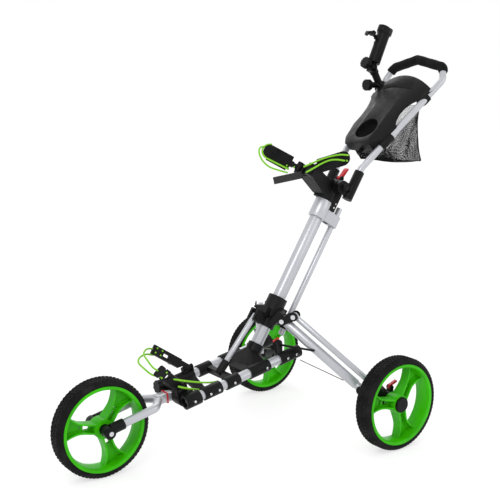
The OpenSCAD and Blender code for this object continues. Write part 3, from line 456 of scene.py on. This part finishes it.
M = {
    "tube": brushed("tube_satin", (0.47, 0.48, 0.51), 0.33, 0.55, Coat_Weight=0.15,
                    Coat_Roughness=0.2),
    "casting": moulded("casting_nylon", (0.0030, 0.0030, 0.0034), 0.42),
    "soft_plastic": moulded("console_plastic", (0.0034, 0.0034, 0.0038), 0.46, grain=1300,
                            depth=0.00009),
    "rim": moulded("rim_green", (0.035, 0.40, 0.0005), 0.36, grain=700, depth=0.00003, worn=1.3),
    "tyre": tyre_rubber(),
    "grip": foam(),
    "cord": braid("cord_lime", (0.27, 0.66, 0.010), (0.11, 0.36, 0.005), 6, 1),
    "webbing": webbing(),
    "net": yarn(),
    "lever": moulded("lever_red", (0.52, 0.006, 0.016), 0.30, grain=600, depth=0.00003, worn=1.3,
                     Coat_Weight=0.2, Coat_Roughness=0.2),
    "steel": brushed("steel_plated", (0.60, 0.61, 0.63), 0.24, 1.0),
    "wire": brushed("wire_dark", (0.09, 0.075, 0.065), 0.42, 0.8),
}

# ------------------------------------------------------------------ mesh tools


def link_mesh(name, verts, faces, material, uvs=None, smooth=True):
    """An object from plain mesh data, with its normals turned outwards."""
    data = bpy.data.meshes.new(name)
    data.from_pydata([tuple(v) for v in verts], [], faces)
    if uvs is not None:
        layer = data.uv_layers.new(name="UVMap")
        for loop in data.loops:
            layer.data[loop.index].uv = uvs[loop.vertex_index]
    data.materials.append(material)
    data.polygons.foreach_set("use_smooth", [smooth] * len(data.polygons))
    made = bpy.data.objects.new(name, data)
    bpy.context.scene.collection.objects.link(made)
    mesh = bmesh.new()
    mesh.from_mesh(data)
    bmesh.ops.recalc_face_normals(mesh, faces=mesh.faces)
    mesh.to_mesh(data)
    mesh.free()
    return made


def spline(points, step=0.004):
    """A smooth curve through given points, sampled every step."""
    pts = [Vector(p) for p in points]
    pts = [2 * pts[0] - pts[1]] + pts + [2 * pts[-1] - pts[-2]]
    out = []
    for a, b, c, d in zip(pts, pts[1:], pts[2:], pts[3:]):
        count = max(2, int((c - b).length / step))
        for i in range(count):
            t = i / count
            out.append(0.5 * ((2 * b) + (c - a) * t + (2 * a - 5 * b + 4 * c - d) * t * t
                              + (3 * b - a - 3 * c + d) * t ** 3))
    return out + [pts[-2]]


def bent(points, radius, steps=14):
    """A route of straight runs whose inner corners turn on a radius."""
    pts = [Vector(p) for p in points]
    out = [pts[0]]
    for a, b, c in zip(pts, pts[1:], pts[2:]):
        u, v = (b - a).normalized(), (c - b).normalized()
        turn = u.angle(v)
        inward = (v - u.dot(v) * u).normalized()
        start = b - radius * math.tan(turn / 2) * u
        out += [start + radius * (math.sin(turn * i / steps) * u
                                  + (1 - math.cos(turn * i / steps)) * inward)
                for i in range(steps + 1)]
    return out + [pts[-1]]


def ring_faces(gaps, sides):
    """The quads between rings of points that lie one after the other."""
    pairs = [(i * sides + k, i * sides + (k + 1) % sides)
             for i in range(gaps) for k in range(sides)]
    return [(a, b, b + sides, a + sides) for a, b in pairs]


def end_caps(sides, last):
    """The faces that close the first ring and the ring that starts at point last."""
    return [tuple(range(sides))[::-1], tuple(last + k for k in range(sides))]


DOME_RINGS = (75, 50, 25)  # degrees round each rounded end, from its tip


def sweep_data(route, radius, sides=20, dome=0.0):
    """Rings along a route. radius is a number or a function of the share of the length."""
    pts = [Vector(p) for p in route]
    gaps = [(b - a).length for a, b in zip(pts, pts[1:])]
    total = sum(gaps)
    size = radius if callable(radius) else (lambda share: radius)
    tangents = [(pts[min(i + 1, len(pts) - 1)] - pts[max(i - 1, 0)]).normalized()
                for i in range(len(pts))]
    side = tangents[0].orthogonal().normalized()
    rings, run = [], 0.0
    for i, (p, t) in enumerate(zip(pts, tangents)):
        side = (side - side.dot(t) * t).normalized()
        rings.append((p, t, side.copy(), size(run / total), run))
        run += gaps[i] if i < len(gaps) else 0
    caps = [(math.sin(math.radians(angle)) * dome, math.cos(math.radians(angle)))
            for angle in DOME_RINGS if dome]
    p, t, s, r, run = rings[0]
    head = [(p - t * out, t, s, r * narrow, run) for out, narrow in caps]
    p, t, s, r, run = rings[-1]
    tail = [(p + t * out, t, s, r * narrow, run) for out, narrow in reversed(caps)]
    rings = head + rings + tail
    # the texture runs along by the girth of the middle ring
    girth = 2 * math.pi * max(rings[len(rings) // 2][3], 1e-4)
    verts, uvs = [], []
    for p, t, s, r, run in rings:
        up = t.cross(s)
        for k in range(sides):
            angle = 2 * math.pi * k / sides
            verts.append(p + r * (math.cos(angle) * s + math.sin(angle) * up))
            uvs.append((run / girth * 3, k / sides))
    gaps = len(rings) - 1
    return verts, ring_faces(gaps, sides) + end_caps(sides, gaps * sides), uvs


def sweep(name, route, radius, material, sides=20, dome=0.0):
    verts, faces, uvs = sweep_data(route, radius, sides, dome)
    return link_mesh(name, verts, faces, material, uvs)


def lathe_data(profile, steps=96):
    """A closed ring-shaped solid: profile is a closed loop of (across, radius)."""
    verts, faces, n = [], [], len(profile)
    for i in range(steps):
        angle = 2 * math.pi * i / steps
        for across, radius in profile:
            verts.append((across, radius * math.cos(angle), radius * math.sin(angle)))
    for i in range(steps):
        for k in range(n):
            a, b = i * n + k, i * n + (k + 1) % n
            c, d = ((i + 1) % steps) * n + (k + 1) % n, ((i + 1) % steps) * n + k
            faces.append((a, b, c, d))
    return verts, faces


def box_data(size, at=(0, 0, 0)):
    half = Vector(size) / 2
    verts = [Vector((x * half.x, y * half.y, z * half.z)) + Vector(at)
             for x in (-1, 1) for y in (-1, 1) for z in (-1, 1)]
    faces = [(0, 1, 3, 2), (4, 6, 7, 5), (0, 4, 5, 1), (2, 3, 7, 6), (0, 2, 6, 4), (1, 5, 7, 3)]
    return verts, faces


def joined(parts):
    """Several (verts, faces) parts as one."""
    verts, faces = [], []
    for part_verts, part_faces in parts:
        base = len(verts)
        verts += [Vector(v) for v in part_verts]
        faces += [tuple(base + i for i in face) for face in part_faces]
    return verts, faces


def moved(part, matrix):
    verts, faces = part
    return [matrix @ Vector(v) for v in verts], faces


def bevelled(piece, width, segments=2, angle=35):
    bevel = piece.modifiers.new("bevel", "BEVEL")
    bevel.width = width
    bevel.segments = segments
    bevel.limit_method = "ANGLE"
    bevel.angle_limit = math.radians(angle)
    return piece


def split_edges(piece, angle):
    """Keeps edges sharper than angle degrees hard under smooth shading."""
    split = piece.modifiers.new("edges", "EDGE_SPLIT")
    split.split_angle = math.radians(angle)


def finished(piece, body, slot, *replaced):
    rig.ride(piece, body)
    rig.slot(piece, slot)
    if replaced:
        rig.replaces(piece, *replaced)
    return piece


# ------------------------------------------------------------------ elastic cords

CORD_R = 0.0025
KNOT_R = 0.0024


def wing_route(side, points):
    """Points in millimetres of a wing's frame."""
    return [on_wing(side, *(v / 1000 for v in p)) for p in points]


def plain_route(points):
    """Points in millimetres of the whole object's frame."""
    return [Vector(p) / 1000 for p in points]


ROUTES = {
    "right_loop": wing_route("right", [
        (24, 9, -20), (44, 9, -20.5), (66, 8, -21), (86, 7, -21.5), (97, 6, -20.5),
        (106, 5, -15.5), (112, 4, -7.5), (113, 3, 2), (108.5, 1, 14.5), (98, 0, 22)]),
    "right_outer_loop": wing_route("right", [
        (22, 9, -30), (46, 10, -36), (72, 10, -40), (96, 8, -34), (114, 7, -21), (121, 6, -8),
        (119, 6, 0), (114, 5, 4)]),
    "left_cord_upper": wing_route("left", [
        (-10, -14, 4), (18, -12, 9), (44, -11.5, 12), (70, -11, 12), (96, -11, 8),
        (117, -10.3, 0)]),
    "left_cord_lower": wing_route("left", [
        (-4, -16, -16), (20, -13, -8), (44, -11.5, -1), (66, -11, 1), (86, -11, -4),
        (105, -10.3, -13)]),
    "belt_high": plain_route([
        (-93, -276, 272), (-80, -297, 279), (-60, -318, 281), (-30, -337, 281),
        (10, -349, 278), (45, -355, 271), (76, -358, 270)]),
    "belt_low": plain_route([
        (-92, -275, 255), (-82, -302, 264), (-60, -333, 266), (-25, -356, 265),
        (12, -364, 263), (50, -361, 254), (72, -350, 252)]),
    "tie_high": plain_route([
        (62, -305, 235), (60, -278, 225), (54, -230, 210), (50, -188, 200), (46, -160, 197)]),
    "tie_low": plain_route([
        (62, -290, 212), (58, -266, 202), (54, -230, 190), (50, -198, 181), (46, -174, 182)]),
}


def cord_piece(name, route, arm, first, last):
    """A cord that goes from the frame to an arm: first and last are its two ends there."""
    piece = sweep(name, route, CORD_R, M["cord"], sides=14, dome=CORD_R)
    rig.slot(piece, "cord")
    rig.replaces(piece, "bag_cords")
    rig.blend(piece, "frame", arm, start=first, end=last)
    return piece


def declared(piece, route):
    """An elastic cord with both ends in the object: its route's own length is its length."""
    length = sum((b - a).length for a, b in zip(route, route[1:]))
    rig.cord(piece, exit=route[0], length=length, diameter=2 * CORD_R, far_end="object",
            stiffness="medium", lay="taut", path=route)


def make_cords():
    for name, arm in (("right_loop", "upper_arm_right"), ("right_outer_loop", "upper_arm_right"),
                      ("left_cord_upper", "upper_arm_left"), ("left_cord_lower", "upper_arm_left")):
        route = spline(ROUTES[name])
        declared(cord_piece(f"cord_{name}", route, arm, route[0], route[-1]), route)
    for name in ("tie_high", "tie_low"):
        route = spline(ROUTES[name])
        piece = cord_piece(f"cord_{name}", route, "lower_arm_left", route[-1], route[0])
        declared(piece, route)
    for name in ("belt_high", "belt_low"):
        # each belt runs from one arm to the other, so its halves bend separately
        route = spline(ROUTES[name])
        middle = len(route) // 2
        for side, part, outer in (("right", route[:middle + 1], route[0]),
                                  ("left", route[middle:][::-1], route[-1])):
            piece = cord_piece(f"cord_{name}_{side}", part, f"lower_arm_{side}",
                               route[middle], outer)
            declared(piece, part)


make_cords()


def make_knots():
    """The cord ends that stand out of the brackets as short stubs."""
    spots = [("upper_arm_right", on_wing("right", *at), on_wing("right", *to)) for at, to in (
        ((0.032, 0.006, -0.013), (0.032, 0.011, -0.013)),
        ((0.025, 0.006, -0.018), (0.025, 0.011, -0.018)),
        ((0.012, 0.004, -0.006), (0.012, 0.009, -0.006)))]
    spots += [("upper_arm_left", on_wing("left", 0.112, -0.007, -0.014),
               on_wing("left", 0.112, -0.012, -0.016))]
    for wide in (-0.0065, 0.0065):
        for up in (0.085, 0.101):
            spots.append(("lower_arm_right", on_lower_arm("right", 0.003, wide, up),
                          on_lower_arm("right", 0.0062, wide, up)))
        spots.append(("lower_arm_left", on_lower_arm("left", 0.003, wide * 1.4, 0.088),
                      on_lower_arm("left", 0.0066, wide * 1.4, 0.088)))
    for i, (body, start, end) in enumerate(spots):
        knot = sweep(f"cord_end_{i + 1}", [start, start.lerp(end, 0.5), end], KNOT_R, M["cord"],
                     sides=12, dome=0.0012)
        finished(knot, body, "cord")


make_knots()

# ------------------------------------------------------------------ padded wings

PAD_START = 0.026
PAD_T = 0.0152
RIB_PITCH = 0.0085
RIB_DEPTH = 0.11  # share of the pad's half thickness


def pad_parts(side):
    """A foam pad as rings along the wing: flat sides, soft edges, chevron ribs, a round tip."""
    reach, tall = WINGS[side][3:]
    radius, middle = tall / 2 - 0.0004, reach - tall / 2
    steps, sides, rings = 84, 56, []
    for i in range(steps + 1):
        share = i / steps
        out = PAD_START - 0.001 + (reach + 0.0008 - PAD_START) * (1 - (1 - share) ** 1.35)
        past = min(1.0, max(0.0, (out - middle) / (reach + 0.001 - middle)))
        high = radius * math.sqrt(max(1e-4, 1 - past * past))
        root = min(1.0, (i + 0.35) / 4) ** 0.5
        thin = (1 - 0.65 * past ** 4) * (0.86 + 0.14 * root)
        ring = []
        for k in range(sides):
            angle = 2 * math.pi * k / sides
            c, n = math.cos(angle), math.sin(angle)
            above = high * (0.97 + 0.03 * root) * math.copysign(abs(c) ** 0.38, c)
            off = PAD_T / 2 * thin * math.copysign(abs(n) ** 0.42, n)
            wave = ((out + 0.30 * abs(above)) / RIB_PITCH) % 1.0
            groove = max(0.0, 1 - abs(wave - 0.5) / 0.17)
            off *= 1 - RIB_DEPTH * groove * (1 - past ** 6) * (abs(n) > 0.3)
            ring.append(on_wing(side, out, off, 0.001 + above))
        rings.append(ring)
    verts = [v for ring in rings for v in ring]
    return verts, ring_faces(steps, sides) + end_caps(sides, steps * sides)


def wing_box(side, low, high):
    """A box in a wing's frame from its low corner to its high corner."""
    verts, faces = box_data([b - a for a, b in zip(low, high)],
                            [(a + b) / 2 for a, b in zip(low, high)])
    return [on_wing(side, *v) for v in verts], faces


def make_wings():
    for side in SIDES:
        reach, tall = WINGS[side][3:]
        pin = wing_pin(side)
        eye, faces = lathe_data([(-0.010, 0.0037), (-0.010, 0.0084), (-0.0094, 0.009),
                                 (0.0094, 0.009), (0.010, 0.0084), (0.010, 0.0037)], 48)
        eye = [from_column(*(pin + Vector((v[1], v[2], v[0])))) for v in eye]
        parts = [
            (eye, faces),
            wing_box(side, (0.006, -0.0046, -0.0062), (0.028, 0.0046, 0.0058)),
            wing_box(side, (0.017, -0.0052, -0.0085), (0.033, 0.0052, 0.0078)),
            wing_box(side, (0.026, -0.0044, -0.0175), (reach - 0.020, 0.0044, 0.0175)),
        ]
        if side == "right":
            parts.append(wing_box(side, (0.030, -0.0068, -0.0235), (0.092, -0.0030, -0.0140)))
        arm = link_mesh(f"wing_arm_{side}", *joined(parts), M["soft_plastic"])
        bevelled(arm, 0.0007, 2, 40)
        split_edges(arm, 40)
        finished(arm, f"upper_arm_{side}", "soft_plastic", f"upper_arm_{side}")
        pad = link_mesh(f"wing_pad_{side}", *pad_parts(side), M["grip"])
        finished(pad, f"upper_arm_{side}", "grip")
        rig.padded(pad, fill=1.0)


make_wings()

# ------------------------------------------------------------------ wheels

TREAD_R = 0.1248
LUG_H = 0.0021
LUG_ROWS = 72
SHOULDER_AT = 0.014  # where the tread starts to fall away


def tyre_profile():
    """One closed loop of (across, radius): bead, sidewall with two ribs, rounded shoulder."""
    side = [(0.0205, 0.1070), (0.0225, 0.1100), (0.0246, 0.1112), (0.0252, 0.1130),
            (0.0248, 0.1142), (0.0254, 0.1155), (0.0255, 0.1172), (0.0251, 0.1190),
            (0.0243, 0.1205), (0.0230, 0.1222), (0.0212, 0.1234), (0.0185, 0.1245),
            (0.0140, TREAD_R), (0.0070, TREAD_R + 0.0002), (0.0, TREAD_R + 0.0003)]
    return side + [(-across, radius) for across, radius in reversed(side[:-1])]


def tread_radius(across):
    """The tread's radius at a distance from the tyre's middle."""
    reach = abs(across)
    if reach < SHOULDER_AT:
        return TREAD_R
    return TREAD_R - 0.0052 * ((reach - SHOULDER_AT) / 0.0105) ** 2


def lug(angle, turn, across, width, height=LUG_H):
    """A small block on the tread, narrower at its top."""
    verts = []
    for level, grow in ((-0.001, 1.0), (height, 0.72)):
        for da, dx in ((-1, -1), (1, -1), (1, 1), (-1, 1)):
            x = across + dx * width / 2 * grow
            a = angle + da * turn / 2 * grow
            r = tread_radius(x) + level
            verts.append((x, r * math.cos(a), r * math.sin(a)))
    faces = [(3, 2, 1, 0), (4, 5, 6, 7), (0, 1, 5, 4), (1, 2, 6, 5), (2, 3, 7, 6), (3, 0, 4, 7)]
    return verts, faces


def tyre_parts():
    parts = [lathe_data(tyre_profile(), 144)]
    for i in range(LUG_ROWS):
        angle = 2 * math.pi * i / LUG_ROWS
        for across in (-0.0120, 0.0, 0.0120):
            stagger = 0 if across == 0 else math.pi / LUG_ROWS
            parts.append(lug(angle + stagger, 0.052, across, 0.0088))
        for across in (-0.0203, 0.0203):
            parts.append(lug(angle, 0.046, across, 0.0068))
    return joined(parts)


SPOKE_ANGLES = (140, 260, 20)


def spoke_webs(sign):
    """Thin floors between the two fins of each spoke, out towards the barrel."""
    outline = [(0.060, -0.0088), (0.084, -0.0135), (0.0985, -0.0240),
               (0.0985, 0.0240), (0.084, 0.0135), (0.060, 0.0088)]
    parts = []
    for angle in SPOKE_ANGLES:
        sine, cosine = math.sin(math.radians(angle)), -math.cos(math.radians(angle))
        verts = [(sign * across, r * sine + w * cosine, r * cosine - w * sine)
                 for across in (-0.0062, -0.0022) for r, w in outline]
        n = len(outline)
        faces = [tuple(range(n)), tuple(range(2 * n - 1, n - 1, -1))]
        faces += [(k, (k + 1) % n, n + (k + 1) % n, n + k) for k in range(n)]
        parts.append((verts, faces))
    return joined(parts)


def make_wheels():
    tyre = tyre_parts()
    for name, body, node, at in (
            ("tyre_front_lugged", "front_wheel", "front_tyre", Vector((0, FRONT_Y, WHEEL_R))),
            ("tyre_left_lugged", "wheel_left", "tyre_left", Vector((HUB_X, REAR_Y, WHEEL_R))),
            ("tyre_right_lugged", "wheel_right", "tyre_right", Vector((-HUB_X, REAR_Y, WHEEL_R)))):
        piece = link_mesh(name, *moved(tyre, Matrix.Translation(at)), M["tyre"])
        split_edges(piece, 40)
        finished(piece, body, "tyre", node)
        webs = link_mesh(name.replace("tyre", "webs").replace("_lugged", ""),
                         *moved(spoke_webs(-1 if at.x < 0 else 1), Matrix.Translation(at)),
                         M["rim"], smooth=False)
        bevelled(webs, 0.0005)
        finished(webs, body, "rim")


make_wheels()

# ------------------------------------------------------------------ handle

HANDLE_D = 0.0195
GRIP_D = 0.028
COLLAR_X, COLLAR_BACK = 0.052, 0.031
SHOULDER = Vector((0.118, 0.574, 0.977))
GRIP_CORNER = Vector((0.100, 0.594, 1.014))
GRIP_APEX = Vector((0, 0.592, 1.037))


def flip(points):
    """Points mirrored to the other side."""
    return [Vector((-p[0], p[1], p[2])) for p in points]


def make_handle():
    root = from_column(COLLAR_X, COLLAR_BACK, 0.490)
    bend = from_column(COLLAR_X, COLLAR_BACK, 0.583)
    half = [root, bend, SHOULDER, GRIP_CORNER, GRIP_APEX]
    route = bent(half + flip(half[:-1][::-1]), 0.030, 16)
    tube = sweep("handle_tube_bent", route, HANDLE_D / 2, M["tube"], sides=32)
    finished(tube, "handle", "tube", "handle_tube")

    start = SHOULDER + 0.62 * (GRIP_CORNER - SHOULDER)
    half = [start, GRIP_CORNER, GRIP_APEX]
    route = spline(bent(half + flip(half[:-1][::-1]), 0.022, 10), 0.003)

    def swell(share):
        """The grip's radius: rounded off at both ends, in gentle waves between them."""
        end = min(share, 1 - share)
        ease = min(1.0, end / 0.012)
        return GRIP_D / 2 * (0.90 + 0.10 * ease ** 0.5) * (1 - 0.02 * math.cos(share * 40))

    grip = sweep("grip_foam_sleeve", route, swell, M["grip"], sides=36, dome=0.0012)
    finished(grip, "handle", "grip", "handle_grip")
    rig.padded(grip, fill=1.0)


make_handle()

# ------------------------------------------------------------------ fork

FORK_D = 0.022
FORK_BARREL_R = 0.013
FORK_PIVOT = Vector((0, -0.258, 0.172))
FORK_CROWN = Vector((0, -0.312, 0.167))
FORK_KNEE = Vector((0.0425, -0.346, 0.161))
FORK_FOOT = Vector((0.0425, FRONT_Y + 0.008, WHEEL_R + 0.006))
SQUARE_TUBE = 0.024


def make_fork():
    half = [FORK_FOOT, FORK_KNEE, FORK_CROWN]
    route = bent(half + flip(half[:-1][::-1]), 0.020, 14)
    legs = sweep_data(route, FORK_D / 2, 28)[:2]
    slope = math.atan2(FORK_PIVOT.z - FORK_CROWN.z, FORK_PIVOT.y - FORK_CROWN.y)
    place = Matrix.Translation(FORK_PIVOT) @ Matrix.Rotation(slope, 4, "X")
    tang = moved(box_data((SQUARE_TUBE, 0.040, SQUARE_TUBE), (0, -0.046, 0)), place)
    barrel = sweep_data([FORK_PIVOT + Vector((x, 0, 0)) for x in (-0.013, 0.013)],
                        FORK_BARREL_R, 32)[:2]
    neck = moved(box_data((0.023, 0.030, 0.022), (0, -0.015, 0)), place)
    piece = link_mesh("fork_tube_bent", *joined([legs, tang, barrel, neck]), M["tube"])
    bevelled(piece, 0.0012, 2, 50)
    split_edges(piece, 50)
    finished(piece, "fork", "tube", "fork_tube")


make_fork()

# ------------------------------------------------------------------ stays

STAY_ENDS = {
    "flat": (Vector((0.057, 0.040, 0.265)), Vector((0.1365, 0.093, 0.258)), 0.0030),
    "wire": (Vector((0.067, 0.100, 0.214)), Vector((0.190, 0.152, 0.178)), 0.0012),
}


def make_stays():
    for side in SIDES:
        s = side_sign(side)
        for kind, (first, last, radius) in STAY_ENDS.items():
            ends = [Vector((s * p.x, p.y, p.z)) for p in (first, last)]
            route = [ends[0].lerp(ends[1], i / 12) for i in range(13)]
            material = M["casting"] if kind == "flat" else M["wire"]
            piece = sweep(f"stay_{kind}_{side}", route, radius, material, sides=12)
            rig.slot(piece, "wire")
            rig.replaces(piece, f"stays_{side}")
            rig.blend(piece, "frame", f"leg_{side}", start=ends[0], end=ends[1])


make_stays()

# ------------------------------------------------------------------ strap tail

STRAP_W = 0.020
STRAP_T = 0.0016
STRAP_TWIST = math.radians(96)
STRAP_FROM = from_column(-0.003, -0.106, 0.484)
STRAP_TO = from_column(-0.052, -0.150, 0.436)


def make_strap():
    along = STRAP_TO - STRAP_FROM
    v = along.normalized()
    # the strap's width stands as the frame's solid has it, square to its run
    turn = Matrix.Rotation(math.atan2(v.y, v.x), 3, "Z") @ Matrix.Rotation(math.acos(v.z), 3, "Y")
    turn = turn @ Matrix.Rotation(STRAP_TWIST, 3, "Z")
    across, face = turn @ Vector((0, 1, 0)), turn @ Vector((1, 0, 0))
    rows, columns, verts, uvs, faces = 24, 8, [], [], []
    for i in range(rows + 1):
        t = i / rows
        sag = 0.0022 * math.sin(math.pi * t) + 0.0006 * math.sin(9 * t)
        for k in range(columns + 1):
            u = k / columns - 0.5
            curl = 0.0007 * (2 * u) ** 2
            verts.append(STRAP_FROM + along * t + across * STRAP_W * u + face * (sag - curl))
            uvs.append((u + 0.5, t * along.length / STRAP_W))
    for i in range(rows):
        for k in range(columns):
            a = i * (columns + 1) + k
            faces.append((a, a + 1, a + columns + 2, a + columns + 1))
    piece = link_mesh("bag_strap_tail", verts, faces, M["webbing"], uvs)
    thick = piece.modifiers.new("thickness", "SOLIDIFY")
    thick.thickness = STRAP_T
    thick.offset = 0
    finished(piece, "frame", "webbing", "bag_strap")
    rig.sheet(piece, flat=(STRAP_W, along.length), held="hung", rests_on=["upper_saddle"])


make_strap()

# ------------------------------------------------------------------ net pocket

NET_HALF = 0.073
NET_PITCH = 0.0045
NET_STRAND = 0.0012
NET_BINDING_R = 0.0017
# the pocket's back, bottom and front in the Y-Z plane
NET_LINE = [Vector((0, y, z)) for y, z in (
    (0.4065, 0.7845), (0.4230, 0.7640), (0.4400, 0.7460), (0.4700, 0.7435), (0.5050, 0.7430),
    (0.5420, 0.7450), (0.5300, 0.7900), (0.5245, 0.8400), (0.5300, 0.9050))]


def net_section(share):
    """A point of the net's line, share 0 to 1."""
    place = share * (len(NET_LINE) - 1)
    i = min(int(place), len(NET_LINE) - 2)
    return NET_LINE[i].lerp(NET_LINE[i + 1], place - i)


def wrinkle(x, y, z):
    """How far a point of the net stands off its smooth sheet."""
    wave = math.sin(70 * (y + 0.6 * z) + 3 * math.sin(40 * x)) * 0.6
    return 0.0016 * (wave + 0.4 * math.sin(150 * (y - 0.4 * z) + 2))


def diamond_grid(name, width, height, place, pitch):
    """Diamond cells over a sheet of width by height; place turns (u, v) into a point."""
    cols, rows = max(2, round(width / pitch)), max(2, round(height / pitch))
    index, verts, faces = {}, [], []

    def corner(i, k):
        if (i, k) not in index:
            index[(i, k)] = len(verts)
            verts.append(place(i / (2 * cols), k / (2 * rows)))
        return index[(i, k)]

    for i in range(2 * cols + 1):
        for k in range(2 * rows + 1):
            if (i + k) % 2 == 0:
                continue
            ring = [(i - 1, k), (i, k - 1), (i + 1, k), (i, k + 1)]
            ring = [(a, b) for a, b in ring if 0 <= a <= 2 * cols and 0 <= b <= 2 * rows]
            if len(ring) > 2:
                faces.append(tuple(corner(*r) for r in ring))
    piece = link_mesh(name, verts, faces, M["net"])
    wires = piece.modifiers.new("strands", "WIREFRAME")
    wires.thickness = NET_STRAND
    wires.use_boundary = True
    wires.use_even_offset = False
    return piece


def make_net():
    outline = [net_section(i / 64) for i in range(65)]
    length = sum((b - a).length for a, b in zip(outline, outline[1:]))

    def wrap(u, v):
        p = net_section(v)
        x = (u - 0.5) * 2 * NET_HALF
        belly = 0.004 * math.cos(math.pi * (u - 0.5)) * math.sin(math.pi * v)
        return Vector((x, p.y + wrinkle(x, p.y, p.z) * 0.8, p.z - belly * (0.4 < v < 0.75)))

    body = diamond_grid("net_wrap", 2 * NET_HALF, length, wrap, NET_PITCH)
    finished(body, "handle", "net", "mesh_bag")
    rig.sheet(body, flat=(2 * NET_HALF, length), held="hung", rests_on=["console"])
    for side in SIDES:
        s = side_sign(side)
        # the side panel: from the sloping console line down to the pocket's bottom
        top_low, top_high, foot_low, foot_high = (NET_LINE[i] for i in (0, 8, 2, 5))

        def panel(u, v):
            top, foot = top_low.lerp(top_high, u), foot_low.lerp(foot_high, u)
            p = foot.lerp(top, v)
            pull = 0.013 * math.sin(math.pi * v) * u ** 3
            ripple = wrinkle(0.3, p.y, p.z) * math.sin(math.pi * v) * 1.3
            return Vector((s * (NET_HALF + ripple), p.y - pull, p.z))

        size = (top_high - top_low).length, 0.105
        piece = diamond_grid(f"net_side_{side}", *size, panel, NET_PITCH)
        finished(piece, "handle", "net")
        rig.sheet(piece, flat=size, area=size[0] * size[1] * 0.70, held="hung", rests_on=["console"])
        hem = [panel(0, v / 8) for v in range(8, -1, -1)]
        hem += [panel(u / 12, 0) for u in range(1, 13)]
        hem += [panel(1, v / 10) for v in range(1, 11)]
        binding = sweep(f"net_binding_{side}", spline(hem, 0.004), NET_BINDING_R, M["webbing"],
                        10, dome=0.001)
        finished(binding, "handle", "webbing")


make_net()

# ------------------------------------------------------------------ finish of the CAD nodes

EDGE_ROUNDING = 0.0007
WELD_GAP = 0.00002
SLOT_OF = {part["node"]: part["material_slot"] for part in frame["record"]["subparts"]}


def dress_nodes():
    """Every CAD node gets its material, welded faces and a fine rounding on its edges."""
    for name, node in nodes.items():
        material = M[SLOT_OF[name]]
        node.data.materials.clear()
        node.data.materials.append(material)
        if node.hide_render:
            continue
        weld = node.modifiers.new("weld", "WELD")
        weld.merge_threshold = WELD_GAP
        bevelled(node, EDGE_ROUNDING, 2, 38)
        split_edges(node, 38)


dress_nodes()

# ------------------------------------------------------------------ stage

FLOOR_SIZE = 14.0
LAMPS_AIM = Vector((0, 0, 0.5))
# (name, place, size in metres, power in watts)
LAMPS = (
    ("key", (1.6, -2.0, 2.6), 1.2, 26),
    ("fill", (2.4, 1.6, 1.4), 1.6, 8),
    ("rim", (-2.0, 1.0, 2.4), 1.4, 14),
)


def make_stage():
    """A large white floor that glows a little, so that it stays white round the shadow."""
    verts = [(x * FLOOR_SIZE, y * FLOOR_SIZE, 0) for x, y in ((-1, -1), (1, -1), (1, 1), (-1, 1))]
    made = Shader("floor_white", (0.40, 0.40, 0.40), 0.9, Emission_Color=(1, 1, 1, 1),
                  Emission_Strength=0.64, Specular_IOR_Level=0.0)
    floor = link_mesh("floor", verts, [(0, 1, 2, 3)], made.material, smooth=False)
    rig.stage(floor)


def make_lights():
    world = bpy.data.worlds.new("studio")
    bpy.context.scene.world = world
    world.use_nodes = True
    background = world.node_tree.nodes["Background"]
    background.inputs["Color"].default_value = (1, 1, 1, 1)
    background.inputs["Strength"].default_value = 1.0
    for name, at, size, power in LAMPS:
        data = bpy.data.lights.new(name, "AREA")
        data.size = size
        data.energy = power
        lamp = bpy.data.objects.new(name, data)
        bpy.context.scene.collection.objects.link(lamp)
        lamp.location = at
        lamp.rotation_euler = (LAMPS_AIM - Vector(at)).to_track_quat("-Z", "Y").to_euler()


make_stage()
make_lights()
bpy.context.scene.view_settings.view_transform = "Standard"

bpy.context.view_layer.update()
visual_box = [list(corner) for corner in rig.bounds()]
with open("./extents.json", "w") as handle:
    json.dump({"cad": cad_box, "visual": visual_box}, handle)
